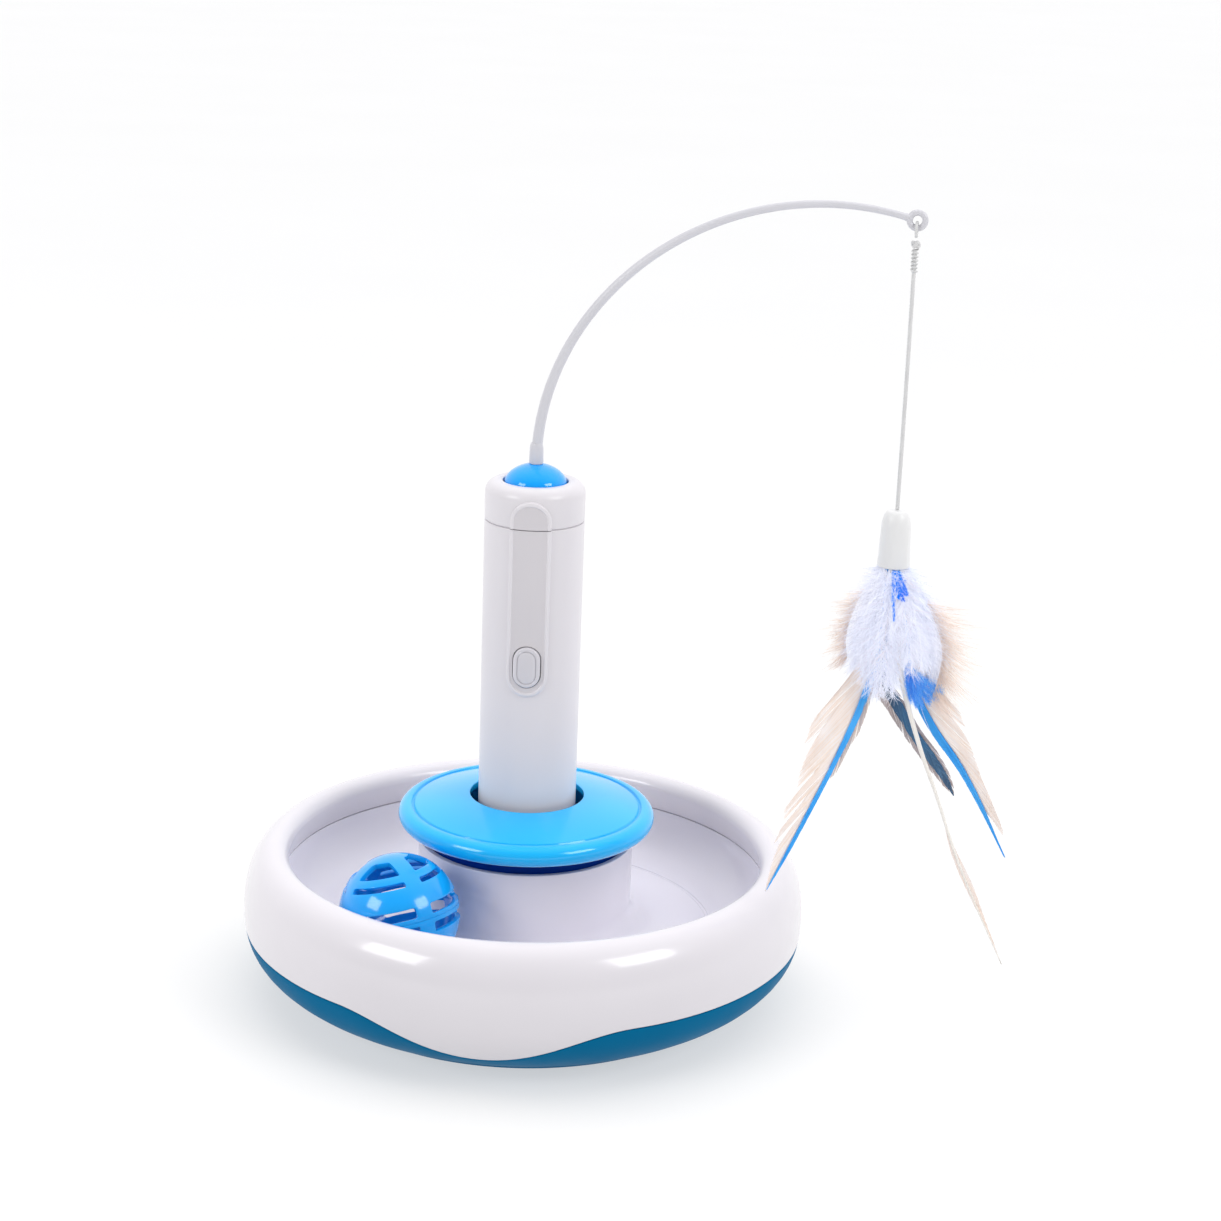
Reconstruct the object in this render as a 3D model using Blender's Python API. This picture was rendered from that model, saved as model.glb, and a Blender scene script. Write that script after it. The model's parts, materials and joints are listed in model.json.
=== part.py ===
"""Motorised cat toy: a round track base with a captive lattice ball, a lift-out
battery handle, and a turning arched rod that carries a string and a feather lure.

Metres, +Z up. The origin is the centre of the base's underside, on the floor.
The button strip of the handle faces -Y.
"""
import math

import bmesh
import bpy
from mathutils import Matrix, Vector

MM = 0.001

# Clearances shared by the whole assembly
joint_gap = 0.3 * MM
cut_overrun = 2.0 * MM

# Track tray with its hub
tray_wall = 2.0 * MM
floor_height = 22.0 * MM
groove_width = 1.4 * MM
groove_depth = 0.5 * MM
hub_radius = 36.8 * MM
hub_fillet = 9.2 * MM
hub_ledge_drop = 2.1 * MM
hub_edge_round = 0.6 * MM

# Lattice ball, lying in the track between the hub and the ring's lip
ball_radius = 20.0 * MM
ball_wall = 1.8 * MM
ball_hub_gap = 4.2 * MM
ball_side_gap = 0.1 * MM
ball_orbit_radius = hub_radius + ball_hub_gap + ball_radius
ball_centre_height = floor_height + joint_gap + ball_radius
ball_azimuth = math.radians(232.4)
ball_pole_azimuth = math.radians(149.0)
ball_pole_tilt = math.radians(16.0)
ball_rib_turn = math.radians(-23.5)
ball_columns = 40
ball_rib_count = 4
ball_rib_width = 5.4 * MM
ball_row_degrees = (4, 14, 24, 35, 41, 49, 60, 70)
ball_open_rows = ((4, 14), (35, 41), (49, 70))

# Base shell and rim ring, one continuous outer wall that is split by a wavy parting line.
# Their radii follow the ball's track outwards.
lip_radius = ball_orbit_radius + ball_radius + ball_side_gap
lip_width = 4.4 * MM
crest_radius = lip_radius + lip_width
shoulder_width = 10.9 * MM
outer_radius = crest_radius + shoulder_width
bowl_spread = 24.9 * MM
foot_print_radius = outer_radius - bowl_spread
seam_overhang = 2.3 * MM
seam_radius = lip_radius + seam_overhang
track_wall_width = 17.9 * MM
track_edge_radius = seam_radius - track_wall_width
track_rise = 19.0 * MM
seam_drop = 2.9 * MM
seam_height = floor_height + track_rise - seam_drop
lip_wall_height = 7.9 * MM
crest_height = seam_height + lip_wall_height + lip_width
widest_drop = 20.3 * MM
widest_height = crest_height - widest_drop
wall = 2.2 * MM
underside_height = 0.8 * MM
centre_pad_radius = 12.0 * MM
edge_round = 1.4 * MM
parting_drop = 7.6 * MM
parting_height = widest_height - parting_drop
parting_dip = 12.7 * MM
dip_half_width = math.radians(29)
first_dip_azimuth = math.radians(-93.6)
dip_count = 3

# Feet and base screws, on one circle under the base
fixing_inset = 13.5 * MM
fixing_circle_radius = foot_print_radius - fixing_inset
foot_radius = 6.0 * MM
foot_seat_depth = 0.7 * MM
screw_head_radius = 2.8 * MM
screw_head_height = 1.6 * MM
screw_head_round = 0.5 * MM
screw_radius = 1.3 * MM
screw_length = 14.0 * MM
screw_recess = 0.6 * MM
recess_arm_length = 3.2 * MM
recess_arm_width = 0.8 * MM
recess_depth = 0.9 * MM
boss_radius = 3.8 * MM
screw_seat_radius = 4.2 * MM

# Socket that holds the handle, and the disc over it. The hub stands above the ball's centre.
hub_rise = 10.7 * MM
hub_height = ball_centre_height + hub_rise
neck_rise = 4.6 * MM
neck_height = hub_height + neck_rise
neck_gap = 0.5 * MM
neck_radius = hub_radius - tray_wall - neck_gap
socket_wall = 2.2 * MM
socket_depth = 23.1 * MM
socket_floor_height = neck_height - socket_depth
socket_floor_wall = 2.0 * MM
socket_rise_above_flange = 4.6 * MM
disc_overhang = 7.3 * MM
disc_radius = hub_radius + disc_overhang
disc_thickness = 7.1 * MM
disc_bottom_height = neck_height + joint_gap
disc_top_height = disc_bottom_height + disc_thickness
disc_rim_width = 5.8 * MM
disc_plate_radius = disc_radius - disc_rim_width
disc_plate_rise = 3.9 * MM
disc_wall = 2.2 * MM
disc_groove_width = 0.9 * MM
disc_rib_inset = 5.8 * MM
disc_rib_radius = neck_radius - disc_rib_inset

# Handle, a tube around two battery cells side by side, stacked up from its cap
cell_radius = 7.1 * MM
cell_gap = 0.1 * MM
cell_clearance = 0.65 * MM
handle_wall = 1.8 * MM
handle_bore_radius = 2 * cell_radius + cell_gap / 2 + cell_clearance
handle_radius = handle_bore_radius + handle_wall
socket_radius = handle_radius + joint_gap + socket_wall
disc_hole_gap = 0.3 * MM
battery_cap_height = 4.9 * MM
handle_bottom = socket_floor_height + joint_gap
body_bottom = handle_bottom + battery_cap_height + joint_gap
carrier_thickness = 1.6 * MM
lower_carrier_low = body_bottom + carrier_thickness + joint_gap
bridge_thickness = 0.5 * MM
bridge_low = lower_carrier_low + carrier_thickness + joint_gap
spring_height = 3.2 * MM
spring_radius = 2.6 * MM
spring_tip_radius = 1.4 * MM
spring_low = bridge_low + bridge_thickness + joint_gap
cells_low = spring_low + spring_height + joint_gap
cell_length = 49.0 * MM
cell_nub_radius = 2.7 * MM
cell_nub_height = 1.2 * MM
nub_end = cells_low + cell_length + cell_nub_height
upper_carrier_low = nub_end + spring_height + 2 * joint_gap

# Button with its board, above the cells
board_clearance = 2.6 * MM
board_width = 20.0 * MM
board_height = 26.0 * MM
board_thickness = 1.2 * MM
button_height = upper_carrier_low + carrier_thickness + board_clearance + board_height / 2
button_width = 9.0 * MM
button_length = 14.0 * MM
button_proud = 0.5 * MM
button_depth = 4.6 * MM
button_travel = 0.5 * MM
button_pad_width = 6.4 * MM
button_pad_length = 11.2 * MM
button_pad_rise = 0.4 * MM
strip_width = 14.0 * MM
strip_length = 66.8 * MM
strip_top_drop = 3.6 * MM
strip_proud = 0.9 * MM
button_rise = 10.5 * MM
strip_bottom_height = button_height - button_rise
strip_top_height = strip_bottom_height + strip_length
button_back = handle_radius + strip_proud + button_proud - button_depth
switch_size = 6.0 * MM
switch_depth = 2.9 * MM
switch_face = button_back - button_travel - joint_gap
board_setback = switch_face - switch_depth - joint_gap - board_thickness / 2
plunger_radius = 1.7 * MM
plunger_length = 1.7 * MM
coin_slot_length = 20.0 * MM
coin_slot_width = 2.0 * MM
coin_slot_depth = 1.4 * MM

# Handle's upper cap, and the motor and gear box under it
cap_top_height = strip_top_height + strip_top_drop
cap_height = 13.2 * MM
cap_seam_height = cap_top_height - cap_height
cap_round = 4.0 * MM
cap_opening_radius = 10.9 * MM
motor_radius = 7.75 * MM
motor_length = 20.0 * MM
motor_boss_radius = 3.0 * MM
motor_boss_height = 1.0 * MM
motor_top_drop = 12.0 * MM
motor_top_height = cap_seam_height - motor_top_drop
gear_plate_height = motor_top_height + motor_boss_height + joint_gap
gear_plate_thickness = 1.8 * MM
gear_cover_thickness = 1.6 * MM
gear_post_radius = 1.5 * MM
gear_post_inset = 3.4 * MM
gear_post_circle_radius = handle_bore_radius - gear_post_inset
gear_post_degrees = (75, 180, 285)

# Gear train, two equal stages
gear_module = 0.4 * MM
pinion_teeth = 9
wheel_teeth = 27
tooth_tip_share = 0.10
tooth_root_share = 0.22
addendum_share = 0.8
dedendum_share = 1.2
gear_face = 3.2 * MM
gear_layer_gap = 0.4 * MM
motor_shaft_radius = 0.8 * MM
idler_pin_radius = 0.9 * MM
pin_clearance = 0.1 * MM
drive_shaft_radius = 1.5 * MM

# Rotor: dome, sleeve and arched rod. The rod lies in a vertical plane at this azimuth.
rod_azimuth = math.radians(-8)
dome_side_gap = 0.5 * MM
dome_radius = cap_opening_radius - dome_side_gap
dome_rim_drop = 1.0 * MM
dome_rise = 6.8 * MM
dome_rim_height = cap_top_height - dome_rim_drop
dome_top_height = dome_rim_height + dome_rise
dome_flange_overlap = 1.7 * MM
dome_flange_gap = 0.7 * MM
dome_flange_thickness = 1.1 * MM
sleeve_height = 7.0 * MM
sleeve_wall = 0.6 * MM
sleeve_tip_wall = 0.5 * MM
rod_base_radius = 1.8 * MM
rod_tip_radius = 1.1 * MM
rod_end_reach = 116.2 * MM
rod_rise = 88.0 * MM
rod_end_height = dome_top_height + rod_rise
rod_base_pull = 57.1 * MM
rod_tip_pull = 59.6 * MM
rod_tip_fall = math.radians(13.6)
rod_stations = 26

# Eye at the rod's end, and the string's loop that hangs in it
eye_ring_radius = 2.5 * MM
eye_wire_radius = 0.85 * MM
loop_ring_radius = 2.2 * MM
loop_wire_radius = 0.5 * MM
knot_radius = 1.5 * MM

# String, straight down from under the knot, in the knot's own frame
string_radius = 0.7 * MM
string_route = (
    (0.0 * MM, 0.0 * MM, -1.8 * MM),
    (0.1 * MM, 0.0 * MM, -30.0 * MM),
    (0.1 * MM, 0.0 * MM, -58.0 * MM),
    (0.0 * MM, 0.0 * MM, -85.6 * MM),
)
string_pieces_per_run = 7

# Lure, hung from the string
ferrule_radius = 5.35 * MM
ferrule_top_radius = 2.4 * MM
ferrule_length = 18.6 * MM
ferrule_shoulder_radius = 4.8 * MM
ferrule_shoulder_height = 5.9 * MM
ferrule_bore_radius = 4.2 * MM
ferrule_bore_depth = 10.6 * MM
binding_length = 9.0 * MM
quill_radius = 0.6 * MM
quill_circle_radius = 1.9 * MM
skirt_length = 43.0 * MM
skirt_radius = 20.4 * MM
skirt_wall = 2.4 * MM
skirt_neck_radius = 4.9 * MM
plume_length = 19.0 * MM
plume_width = 5.0 * MM
vane_thickness = 0.9 * MM
vane_wide = 8.0 * MM
vane_narrow = 4.0 * MM
spine_half_width = 0.7 * MM

# Feather tips and the bends above them, from the lure's axis: reach outwards along the rod,
# forward or back across it, and height above the floor with the toy at rest
bend_height = 112.0 * MM
left_reach = -31.7 * MM
left_forward = 32.4 * MM
left_tip_height = 56.0 * MM
left_bend_reach = -3.2 * MM
left_bend_forward = 3.9 * MM
right_reach = 43.3 * MM
right_back = 7.0 * MM
right_tip_height = 60.6 * MM
right_bend_reach = 3.5 * MM
right_bend_back = 1.4 * MM
dark_reach = 24.4 * MM
dark_back = 17.0 * MM
dark_tip_height = 77.4 * MM
dark_bend_reach = 2.4 * MM
dark_bend_back = 5.1 * MM
spine_reach = 45.3 * MM
spine_forward = 5.0 * MM
spine_tip_height = 22.8 * MM
spine_bend_reach = 5.4 * MM

# Facet counts
base_steps = 40
disc_steps = 40
handle_steps = 32
small_steps = 16
wire_steps = 8


def clear_scene():
    for item in list(bpy.data.objects):
        bpy.data.objects.remove(item, do_unlink=True)


def make_material(name, colour, roughness, metallic=0.0):
    material = bpy.data.materials.new(name)
    material.use_nodes = True
    shader = material.node_tree.nodes["Principled BSDF"]
    shader.inputs["Base Color"].default_value = (*colour, 1.0)
    shader.inputs["Roughness"].default_value = roughness
    shader.inputs["Metallic"].default_value = metallic
    return material


def make_empty(name, parent=None, location=(0, 0, 0), rotation=(0, 0, 0)):
    empty = bpy.data.objects.new(name, None)
    bpy.context.scene.collection.objects.link(empty)
    empty.parent = parent
    empty.location = location
    empty.rotation_euler = rotation
    return empty


def make_object(name, bm, material, parent, sharp_degrees=35):
    """Turn a closed bmesh into a named object with outward faces and smooth shading."""
    bmesh.ops.recalc_face_normals(bm, faces=bm.faces)
    mesh = bpy.data.meshes.new(name)
    bm.to_mesh(mesh)
    bm.free()
    mesh.materials.append(material)
    mesh.shade_smooth()
    mesh.set_sharp_from_angle(angle=math.radians(sharp_degrees))
    item = bpy.data.objects.new(name, mesh)
    bpy.context.scene.collection.objects.link(item)
    item.parent = parent
    return item


def turned(outline_at, steps, phase=0.0):
    """Revolve (radius, height) points about Z. outline_at is one outline, or gives one for each azimuth.

    An outline that starts and ends on the axis closes there; any other outline is a closed loop.
    """
    bm = bmesh.new()
    rings = []
    poles = {}
    for step in range(steps):
        azimuth = phase + 2 * math.pi * step / steps
        outline = outline_at(azimuth) if callable(outline_at) else outline_at
        ring = []
        for place, (radius, height) in enumerate(outline):
            if radius == 0:
                if place not in poles:
                    poles[place] = bm.verts.new((0, 0, height))
                ring.append(poles[place])
            else:
                ring.append(bm.verts.new((radius * math.cos(azimuth), radius * math.sin(azimuth), height)))
        rings.append(ring)
    count = len(rings[0])
    open_outline = bool(poles)
    for step, ring in enumerate(rings):
        following = rings[(step + 1) % steps]
        for place in range(count - 1 if open_outline else count):
            beyond = (place + 1) % count
            corners = [ring[place], following[place], following[beyond], ring[beyond]]
            unique = []
            for corner in corners:
                if corner not in unique:
                    unique.append(corner)
            bm.faces.new(unique)
    return bm


def prism(outline, low, high):
    """Extrude a flat (x, y) outline from one height to another."""
    bm = bmesh.new()
    face = bm.faces.new([bm.verts.new((x, y, low)) for x, y in outline])
    extruded = bmesh.ops.extrude_face_region(bm, geom=[face])
    raised = [item for item in extruded["geom"] if isinstance(item, bmesh.types.BMVert)]
    bmesh.ops.translate(bm, verts=raised, vec=(0, 0, high - low))
    return bm


def box(width, depth, height, centre=(0, 0, 0)):
    bm = bmesh.new()
    size = Matrix.Diagonal((width, depth, height, 1))
    bmesh.ops.create_cube(bm, size=1, matrix=Matrix.Translation(centre) @ size)
    return bm


def cylinder(radius, low, high, steps=small_steps):
    return turned([(0, low), (radius, low), (radius, high), (0, high)], steps)


def place(bm, matrix):
    bmesh.ops.transform(bm, matrix=matrix, verts=bm.verts)
    return bm


def joined(shapes):
    """Several separate shapes in one bmesh."""
    whole = bmesh.new()
    for shape in shapes:
        mesh = bpy.data.meshes.new("joined")
        shape.to_mesh(mesh)
        shape.free()
        whole.from_mesh(mesh)
        bpy.data.meshes.remove(mesh)
    return whole


def arc(centre, radii, start_degrees, end_degrees, pieces):
    """Points on an elliptical arc in the (radius, height) plane, ends included."""
    points = []
    for piece in range(pieces + 1):
        angle = math.radians(start_degrees + (end_degrees - start_degrees) * piece / pieces)
        points.append((centre[0] + radii[0] * math.cos(angle), centre[1] + radii[1] * math.sin(angle)))
    return points


def oblong(width, length, pieces=8):
    """Outline of a strip with full round ends, its length along the second axis."""
    radius = width / 2
    straight = (length - width) / 2
    points = arc((0, straight), (radius, radius), 0, 180, pieces)
    points += arc((0, -straight), (radius, radius), 180, 360, pieces)
    return points


def combine(target, bm, operation):
    """Join a shape to an object, or cut it out, with an exact Boolean."""
    bmesh.ops.recalc_face_normals(bm, faces=bm.faces)
    mesh = bpy.data.meshes.new(target.name + "_tool")
    bm.to_mesh(mesh)
    bm.free()
    tool = bpy.data.objects.new(mesh.name, mesh)
    bpy.context.scene.collection.objects.link(tool)
    tool.parent = target.parent
    tool.hide_render = True
    tool.display_type = "WIRE"
    modifier = target.modifiers.new(operation.lower(), "BOOLEAN")
    modifier.operation = operation
    modifier.solver = "EXACT"
    modifier.object = tool


def facing_front(depth):
    """Stand a flat (x, y) shape up so that it faces -Y, its z = 0 plane at the given distance from the axis."""
    return Matrix.Translation((0, -depth, 0)) @ Matrix.Rotation(math.radians(90), 4, "X")


# Base


def parting_at(azimuth):
    """Height of the line between shell and ring, which dips at evenly spaced places."""
    spacing = 2 * math.pi / dip_count
    offset = (azimuth - first_dip_azimuth + spacing / 2) % spacing - spacing / 2
    if abs(offset) >= dip_half_width:
        return parting_height
    return parting_height - parting_dip * (1 + math.cos(math.pi * offset / dip_half_width)) / 2


def wall_point(height, depth):
    """A point on the bowl-shaped outer wall, moved inwards by depth along its normal."""
    spread = outer_radius - foot_print_radius
    left = 1 - height / widest_height
    radius = outer_radius - spread * left ** 2
    slope = 2 * spread * left / widest_height
    length = math.hypot(1, slope)
    return radius - depth / length, height + depth * slope / length


def shell_outline(azimuth):
    top = parting_at(azimuth) - joint_gap / 2
    start = underside_height + edge_round
    pieces = 4
    heights = [start + (top - start) * piece / pieces for piece in range(pieces + 1)]
    outer = [wall_point(height, 0) for height in heights]
    inner = [wall_point(height, wall) for height in reversed(heights[1:])]
    plate_top = underside_height + wall
    bottom_radius = outer[0][0] - edge_round
    below = [
        (0, 0),
        (centre_pad_radius, 0),
        (centre_pad_radius + underside_height, underside_height),
        (bottom_radius, underside_height),
    ]
    above = [(bottom_radius - wall / 2, plate_top), (0, plate_top)]
    return below + outer + inner + above


def ring_outline(azimuth):
    bottom = parting_at(azimuth) + joint_gap / 2
    pieces = 3
    heights = [bottom + (widest_height - bottom) * piece / pieces for piece in range(pieces)]
    outer = [wall_point(height, 0) for height in heights]
    shoulder = arc((crest_radius, widest_height), (outer_radius - crest_radius, crest_height - widest_height),
                   0, 90, 5)
    lip_drop = crest_radius - lip_radius
    lip = arc((crest_radius, crest_height - lip_drop), (lip_drop, lip_drop), 90, 180, 3)
    seam = seam_height + joint_gap / 2
    inside_lip = lip_drop - wall
    back = [(seam_radius, seam), (seam_radius + wall, seam)]
    back += arc((crest_radius, crest_height - lip_drop), (inside_lip, inside_lip), 180, 90, 2)
    under = arc((crest_radius, widest_height),
                (outer_radius - crest_radius - wall, crest_height - widest_height - wall), 90, 0, 4)
    inner = [wall_point(height, wall) for height in reversed(heights)]
    return outer + shoulder + lip[1:] + back + under[1:] + inner


def tray_outline():
    """Track floor and wall, hub wall and hub ledge, all one moulding of even thickness."""
    top = seam_height - joint_gap / 2
    wall_span = seam_radius - track_edge_radius
    bowl = (track_edge_radius, floor_height + track_rise)
    upper = [(seam_radius, top)]
    upper += arc(bowl, (wall_span, track_rise), -22, -90, 3)
    groove_outer = track_edge_radius - groove_depth / 2
    upper += [
        (groove_outer, floor_height - groove_depth),
        (groove_outer - groove_width + groove_depth, floor_height - groove_depth),
        (groove_outer - groove_width, floor_height),
    ]
    fillet_centre = (hub_radius + hub_fillet, floor_height + hub_fillet)
    upper += arc(fillet_centre, (hub_fillet, hub_fillet), 270, 180, 3)
    ledge = hub_height - hub_ledge_drop
    hub_inside = hub_radius - tray_wall
    socket_hole = socket_radius + joint_gap
    upper += [
        (hub_radius, hub_height - hub_edge_round),
        (hub_radius - hub_edge_round, hub_height),
        (hub_inside, hub_height),
        (hub_inside, ledge),
        (socket_hole, ledge),
    ]
    below_ledge = ledge - tray_wall
    lower = [(socket_hole, below_ledge), (hub_inside, below_ledge)]
    outer_fillet = hub_fillet + tray_wall
    lower += arc(fillet_centre, (outer_fillet, outer_fillet), 180, 270, 2)
    lower += arc(bowl, (wall_span + tray_wall, track_rise + tray_wall), -90, -22, 3)
    lower += [(seam_radius + tray_wall, top)]
    return upper + lower


def socket_outline():
    inside = handle_radius + joint_gap
    outside = socket_radius
    floor_under = socket_floor_height - socket_floor_wall
    rest = hub_height - hub_ledge_drop + joint_gap
    flange_under = neck_height - socket_wall
    top = neck_height + socket_rise_above_flange
    return [
        (0, floor_under),
        (outside, floor_under),
        (outside, flange_under),
        (neck_radius - socket_wall, flange_under),
        (neck_radius - socket_wall, rest),
        (neck_radius, rest),
        (neck_radius, neck_height),
        (outside, neck_height),
        (outside, top),
        (inside, top),
        (inside, socket_floor_height),
        (0, socket_floor_height),
    ]


def disc_outline():
    hole_radius = socket_radius + disc_hole_gap
    bulge = disc_thickness / 2
    groove_end = disc_plate_radius + disc_groove_width
    rim_centre = (disc_radius - bulge, disc_top_height - bulge)
    under = disc_top_height - disc_wall
    skirt_inside = rim_centre[0] - disc_wall / 2
    rib_inside = disc_rib_radius - disc_wall
    slope = disc_plate_rise / (disc_plate_radius - hole_radius)

    def rise_at(radius):
        return slope * (disc_plate_radius - radius)

    outline = [
        (hole_radius, under + rise_at(hole_radius)),
        (hole_radius, disc_top_height + rise_at(hole_radius) - disc_wall / 4),
        (hole_radius + disc_wall / 4, disc_top_height + rise_at(hole_radius + disc_wall / 4)),
        (disc_plate_radius, disc_top_height),
        (disc_plate_radius + disc_groove_width / 4, disc_top_height - disc_groove_width / 2),
        (groove_end - disc_groove_width / 4, disc_top_height - disc_groove_width / 2),
        (groove_end, disc_top_height),
    ]
    outline += arc(rim_centre, (bulge, bulge), 90, -90, 5)
    outline += [
        (skirt_inside, disc_bottom_height + disc_wall / 4),
        (skirt_inside, under),
        (disc_plate_radius, under),
        (disc_rib_radius, under + rise_at(disc_rib_radius)),
        (disc_rib_radius, disc_bottom_height),
        (rib_inside, disc_bottom_height),
        (rib_inside, under + rise_at(rib_inside)),
    ]
    return outline


def fixing_places(offset):
    """Azimuths of one set of fixings, half a pattern apart from the other set."""
    spacing = 2 * math.pi / dip_count
    return [first_dip_azimuth + offset * spacing + index * spacing for index in range(dip_count)]


def on_fixing_circle(azimuth):
    return Matrix.Rotation(azimuth, 4, "Z") @ Matrix.Translation((fixing_circle_radius, 0, 0))


def screw_top():
    return underside_height + screw_recess + screw_head_height


def build_base(looks, root):
    shell = make_object("base_shell", turned(shell_outline, base_steps), looks["shell"], root)
    make_object("rim_ring", turned(ring_outline, base_steps), looks["white"], root)
    tray = make_object("track_tray", turned(tray_outline(), base_steps), looks["white"], root)
    make_object("socket_cup", turned(socket_outline(), handle_steps), looks["dark_blue"], root)
    make_object("deck_disc", turned(disc_outline(), disc_steps), looks["disc"], root)
    pad_top = underside_height + foot_seat_depth - joint_gap
    seats = []
    for index, azimuth in enumerate(fixing_places(0), start=1):
        here = on_fixing_circle(azimuth)
        seats.append(place(cylinder(foot_radius + joint_gap, -cut_overrun, pad_top + joint_gap), here))
        pad = place(cylinder(foot_radius, 0, pad_top), here)
        make_object(f"foot_{index}", pad, looks["rubber"], root)
    screw_places = [on_fixing_circle(azimuth) for azimuth in fixing_places(0.5)]
    combine(shell, joined([place(screw_pocket(), here) for here in screw_places]), "UNION")
    wells = [place(screw_well(), here) for here in screw_places]
    combine(shell, joined(seats + wells), "DIFFERENCE")
    combine(tray, joined([place(screw_boss(), here) for here in screw_places]), "UNION")
    for index, here in enumerate(screw_places, start=1):
        build_screw(f"base_screw_{index}", here, looks, root)


def seat_roof():
    return screw_top() + joint_gap


def boss_bottom():
    return underside_height + 3 * wall


def screw_pocket():
    """Raised floor of the shell around a screw's head."""
    return cylinder(screw_seat_radius, underside_height + wall - joint_gap, seat_roof() + wall)


def screw_well():
    """Counterbore and clearance hole, cut from below."""
    well_radius = screw_head_radius + joint_gap
    hole_radius = screw_radius + joint_gap
    outline = [
        (0, -cut_overrun),
        (well_radius, -cut_overrun),
        (well_radius, seat_roof()),
        (hole_radius, seat_roof()),
        (hole_radius, boss_bottom()),
        (0, boss_bottom()),
    ]
    return turned(outline, small_steps)


def screw_boss():
    """Post under the track that takes a screw, with its blind bore."""
    hole_radius = screw_radius + joint_gap
    bore_top = screw_top() + screw_length + joint_gap
    boss_top = floor_height - tray_wall / 2
    outline = [
        (0, bore_top),
        (hole_radius, bore_top),
        (hole_radius, boss_bottom()),
        (boss_radius, boss_bottom()),
        (boss_radius, boss_top),
        (0, boss_top),
    ]
    return turned(outline, small_steps)


def build_screw(name, here, looks, root):
    low = screw_top() - screw_head_height
    outline = [
        (0, low),
        (screw_head_radius - screw_head_round, low),
        (screw_head_radius, low + screw_head_round),
        (screw_head_radius, screw_top()),
        (screw_radius, screw_top()),
        (screw_radius, screw_top() + screw_length - screw_radius),
        (0, screw_top() + screw_length),
    ]
    screw = make_object(name, place(turned(outline, small_steps // 2), here), looks["steel"], root)
    depth = recess_depth + cut_overrun
    centre = (0, 0, low + recess_depth - depth / 2)
    combine(screw, place(box(recess_arm_length, recess_arm_width, depth, centre), here), "DIFFERENCE")
    combine(screw, place(box(recess_arm_width, recess_arm_length, depth, centre), here), "DIFFERENCE")


# Ball


def ball_rows():
    """Latitudes of the ball's rows of faces, from just above the split to the pole."""
    split = math.asin(joint_gap / 2 / ball_radius)
    return [split] + [math.radians(row) for row in ball_row_degrees]


def ball_cell_open(row_middle, column):
    """Whether a slot is open here: in one of the open rows, and clear of the nearest rib."""
    rib_spacing = ball_columns // ball_rib_count
    from_rib = (column + rib_spacing // 2) % rib_spacing - rib_spacing // 2
    column_width = 2 * math.pi * ball_radius * math.cos(row_middle) / ball_columns
    half_rib = max(1, round(ball_rib_width / 2 / column_width))
    if -half_rib <= from_rib < half_rib:
        return False
    return any(low < math.degrees(row_middle) < high for low, high in ball_open_rows)


def ball_half():
    """Half a hollow ball: four ribs, slots in rows between them, a cap at the pole."""
    bm = bmesh.new()
    rows = ball_rows()
    turn = 2 * math.pi / ball_columns
    layers = []
    for radius in (ball_radius, ball_radius - ball_wall):
        grid = []
        for row in rows:
            latitude = row if row != rows[0] else math.asin(joint_gap / 2 / radius)
            ring = []
            for column in range(ball_columns):
                azimuth = column * turn
                ring.append(bm.verts.new((radius * math.cos(latitude) * math.cos(azimuth),
                                          radius * math.cos(latitude) * math.sin(azimuth),
                                          radius * math.sin(latitude))))
            grid.append(ring)
        layers.append((grid, bm.verts.new((0, 0, radius))))
    closed = {}
    for row in range(len(rows) - 1):
        for column in range(ball_columns):
            middle = (rows[row] + rows[row + 1]) / 2
            closed[row, column] = not ball_cell_open(middle, column)
    for grid, pole in layers:
        for (row, column), solid in closed.items():
            if solid:
                beyond = (column + 1) % ball_columns
                bm.faces.new([grid[row][column], grid[row][beyond],
                              grid[row + 1][beyond], grid[row + 1][column]])
        for column in range(ball_columns):
            bm.faces.new([grid[-1][column], grid[-1][(column + 1) % ball_columns], pole])
    outer, inner = layers[0][0], layers[1][0]
    last = len(rows) - 2
    for row in range(len(rows) - 1):
        for column in range(ball_columns):
            if not closed[row, column]:
                continue
            beyond = (column + 1) % ball_columns
            before = (column - 1) % ball_columns
            corners = {
                "down": (row, column, row, beyond),
                "up": (row + 1, column, row + 1, beyond),
                "left": (row, column, row + 1, column),
                "right": (row, beyond, row + 1, beyond),
            }
            edges = []
            if row == 0 or not closed[row - 1, column]:
                edges.append(corners["down"])
            if row < last and not closed[row + 1, column]:
                edges.append(corners["up"])
            if not closed[row, before]:
                edges.append(corners["left"])
            if not closed[row, beyond]:
                edges.append(corners["right"])
            for first_row, first_column, second_row, second_column in edges:
                bm.faces.new([outer[first_row][first_column], outer[second_row][second_column],
                              inner[second_row][second_column], inner[first_row][first_column]])
    for column in range(ball_columns):
        if not closed[last, column]:
            beyond = (column + 1) % ball_columns
            bm.faces.new([outer[-1][column], outer[-1][beyond], inner[-1][beyond], inner[-1][column]])
    return bm


def build_ball(looks, pivot):
    lean = Matrix.Rotation(ball_pole_azimuth - ball_azimuth, 4, "Z") @ Matrix.Rotation(ball_pole_tilt, 4, "Y")
    lean = lean @ Matrix.Rotation(ball_rib_turn, 4, "Z")
    centre = Matrix.Translation((ball_orbit_radius, 0, ball_centre_height))
    make_object("ball_half_upper", place(ball_half(), centre @ lean), looks["ball"], pivot)
    flipped = Matrix.Rotation(math.pi, 4, "X")
    make_object("ball_half_lower", place(ball_half(), centre @ lean @ flipped), looks["ball"], pivot)


# Handle


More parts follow.
